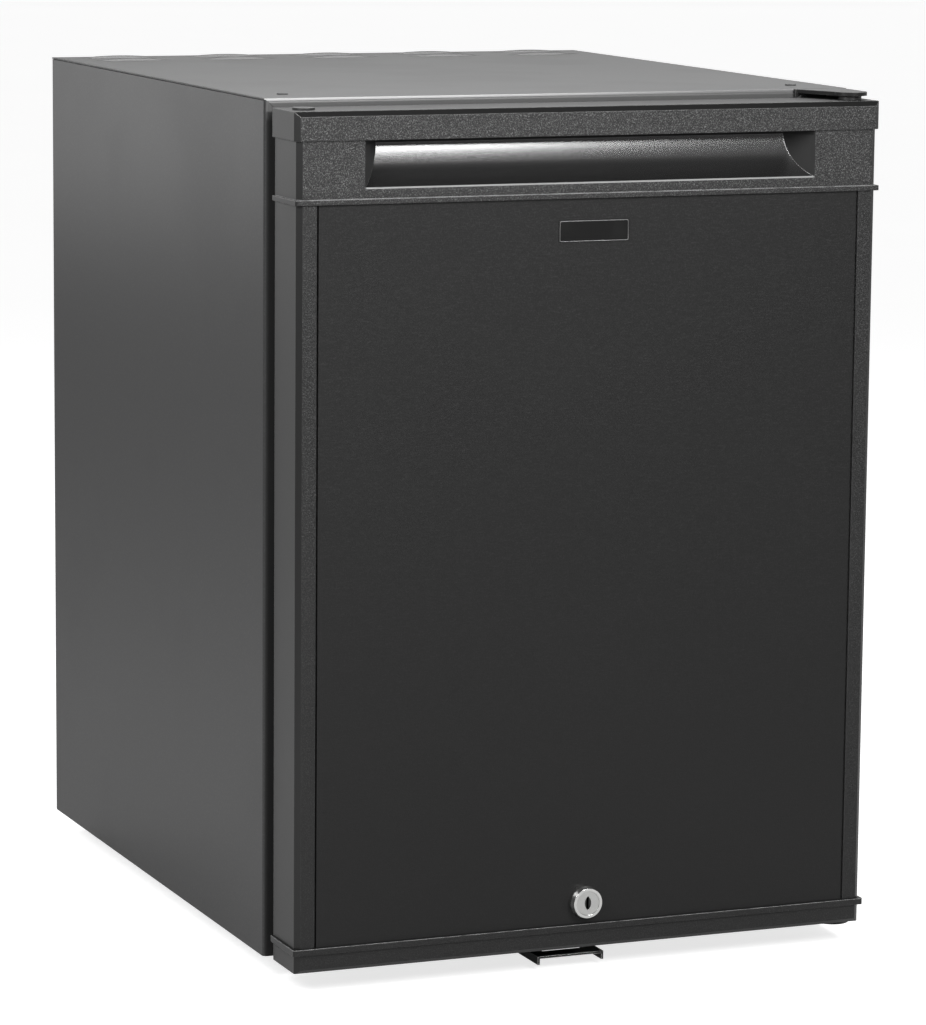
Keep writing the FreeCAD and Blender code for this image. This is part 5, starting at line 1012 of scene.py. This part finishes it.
class FRIDGE_OT_stage(bpy.types.Operator):
    """Lays the pale floor and sets the lamps, the sky and the camera"""

    bl_idname = "fridge.stage"
    bl_label = "Stage"

    def execute(self, context):
        studio = context.scene.fridge_studio
        self.floor()
        self.sky(context.scene, studio)
        self.lamp("front_lamp", (0.31, -1.6, 1.26), (0.0, -0.2, 0.45), (0.6, 0.8), studio.front_power)
        self.lamp("top_lamp", (0.45, 1.1, 2.0), (0.0, 0.0, 0.55), (1.4, 1.1), studio.top_power)
        self.lamp("fill_lamp", (-1.0, -0.7, 0.9), (-0.4, 0.1, 0.0), (0.5, 0.5), studio.fill_power)
        self.lamp("side_lamp", (-0.62, 0.95, 0.62), (-0.2, -0.25, 0.35), (0.35, 0.5), studio.side_power)
        self.camera(context.scene, studio)
        context.scene.view_settings.view_transform = "Standard"
        return {"FINISHED"}

    def floor(self):
        reach = 30.0
        mesh = bpy.data.meshes.new("studio_floor")
        mesh.from_pydata([(-reach, -reach, 0), (reach, -reach, 0), (reach, reach, 0), (-reach, reach, 0)], [],
                         [(0, 1, 2, 3)])
        material = bpy.data.materials.new("pale_floor")
        material.use_nodes = True
        b = Board(material.node_tree)
        shader = material.node_tree.nodes["Principled BSDF"]
        path = b.add("ShaderNodeLightPath").outputs
        mirrored = b.sum("MAXIMUM", path["Is Glossy Ray"], path["Is Transmission Ray"])
        place = b.add("ShaderNodeTexCoord").outputs["Object"]
        paint = b.mix(b.noise(place, 3.0, 3.0), grey(0.55), grey(0.59))
        glow = b.sum("ADD", b.product(path["Is Camera Ray"], 0.75), b.product(mirrored, 0.06))
        b.feed(shader.inputs["Base Color"], paint)
        b.feed(shader.inputs["Roughness"], 0.9)
        b.feed(shader.inputs["Specular IOR Level"], 0.1)
        b.feed(shader.inputs["Emission Color"], grey(1.0))
        b.feed(shader.inputs["Emission Strength"], glow)
        mesh.materials.append(material)
        ground = bpy.data.objects.new("studio_floor", mesh)
        bpy.context.scene.collection.objects.link(ground)

    def sky(self, scene, studio):
        world = bpy.data.worlds.new("studio_sky")
        scene.world = world
        world.use_nodes = True
        world.node_tree.nodes.clear()
        b = Board(world.node_tree)
        path = b.add("ShaderNodeLightPath").outputs
        seen = b.sum("MAXIMUM", path["Is Camera Ray"], b.sum("MAXIMUM", path["Is Glossy Ray"],
                                                            path["Is Transmission Ray"]))
        way = b.add("ShaderNodeTexCoord").outputs["Generated"]
        up = b.add("ShaderNodeSeparateXYZ", {"Vector": way}).outputs["Z"]
        left = b.vector("DOT_PRODUCT", way, (-0.92, -0.39, 0.0))
        ahead = b.vector("DOT_PRODUCT", way, (0.36, -0.93, 0.0))
        dark = b.sum("MAXIMUM", b.step(up, 0.18, 0.4), b.sum("MAXIMUM", b.step(left, 0.75, 0.95),
                                                             b.step(ahead, 0.6, 0.85)))
        shown = b.mix(dark, grey(1.0), grey(0.15))
        behind = b.vector("DOT_PRODUCT", way, (-0.31, 0.95, 0.0))
        shade = b.product(b.step(behind, 0.75, 0.95), path["Is Glossy Ray"])
        shown = b.mix(shade, shown, grey(0.3))
        even = b.add("ShaderNodeBackground", {"Color": grey(1.0), "Strength": studio.sky_strength})
        backdrop = b.add("ShaderNodeBackground", {"Color": shown, "Strength": 1.0})
        mixed = b.add("ShaderNodeMixShader", {"Fac": seen})
        b.feed(mixed.inputs[1], even.outputs[0])
        b.feed(mixed.inputs[2], backdrop.outputs[0])
        output = b.add("ShaderNodeOutputWorld")
        b.feed(output.inputs["Surface"], mixed.outputs[0])

    def lamp(self, name, place, aim, size, power):
        data = bpy.data.lights.new(name, "AREA")
        data.shape = "RECTANGLE"
        data.size, data.size_y = size
        data.energy = power
        lamp = bpy.data.objects.new(name, data)
        lamp.location = place
        lamp.rotation_euler = (Vector(aim) - Vector(place)).to_track_quat("-Z", "Y").to_euler()
        lamp.visible_camera = False
        bpy.context.scene.collection.objects.link(lamp)

    def camera(self, scene, studio):
        data = bpy.data.cameras.new("camera")
        data.sensor_width = SENSOR
        data.lens = studio.focal_pixels * SENSOR / IMAGE_LONG_SIDE
        data.clip_end = 100.0
        camera = bpy.data.objects.new("camera", data)
        scene.collection.objects.link(camera)
        yaw, pitch, roll = studio.yaw, studio.pitch, studio.roll
        ahead = Vector((math.sin(yaw) * math.cos(pitch), math.cos(yaw) * math.cos(pitch), -math.sin(pitch)))
        right = Vector((math.cos(yaw), -math.sin(yaw), 0.0))
        up = right.cross(ahead)
        side = right * math.cos(roll) + up * math.sin(roll)
        top = up * math.cos(roll) - right * math.sin(roll)
        turn = Matrix((side, top, -ahead)).transposed().to_4x4()
        camera.matrix_world = Matrix.Translation(studio.camera_place) @ turn
        scene.camera = camera


class FRIDGE_PT_panel(bpy.types.Panel):
    """Steps that build the fridge, in order"""

    bl_idname = "FRIDGE_PT_panel"
    bl_label = "Minibar Fridge"
    bl_space_type = "VIEW_3D"
    bl_region_type = "UI"
    bl_category = "Minibar"

    def draw(self, context):
        layout = self.layout
        for operator in OPERATORS:
            layout.operator(operator.bl_idname)
        for settings in (context.scene.fridge_look, context.scene.fridge_sizes, context.scene.fridge_studio):
            box = layout.box()
            for name in settings.__annotations__:
                box.prop(settings, name)


SETTINGS = (FridgeLook, FridgeSizes, StudioSettings)
OPERATORS = (FRIDGE_OT_cabinet, FRIDGE_OT_feet, FRIDGE_OT_door, FRIDGE_OT_seal, FRIDGE_OT_lock,
             FRIDGE_OT_inside, FRIDGE_OT_bins, FRIDGE_OT_cooling_unit, FRIDGE_OT_stage)
CLASSES = SETTINGS + OPERATORS + (FRIDGE_PT_panel,)


def register():
    for cls in CLASSES:
        bpy.utils.register_class(cls)
    bpy.types.Scene.fridge_look = PointerProperty(type=FridgeLook)
    bpy.types.Scene.fridge_sizes = PointerProperty(type=FridgeSizes)
    bpy.types.Scene.fridge_studio = PointerProperty(type=StudioSettings)


def unregister():
    del bpy.types.Scene.fridge_studio
    del bpy.types.Scene.fridge_sizes
    del bpy.types.Scene.fridge_look
    for cls in reversed(CLASSES):
        bpy.utils.unregister_class(cls)


def main():
    register()
    FINISHES.update(make_finishes(bpy.context.scene.fridge_look))
    bpy.ops.fridge.cabinet()
    bpy.ops.fridge.feet()
    bpy.ops.fridge.door()
    bpy.ops.fridge.seal()
    bpy.ops.fridge.lock()
    bpy.ops.fridge.inside()
    bpy.ops.fridge.bins()
    bpy.ops.fridge.cooling_unit()
    bpy.ops.fridge.stage()


if __name__ == "__main__":
    main()
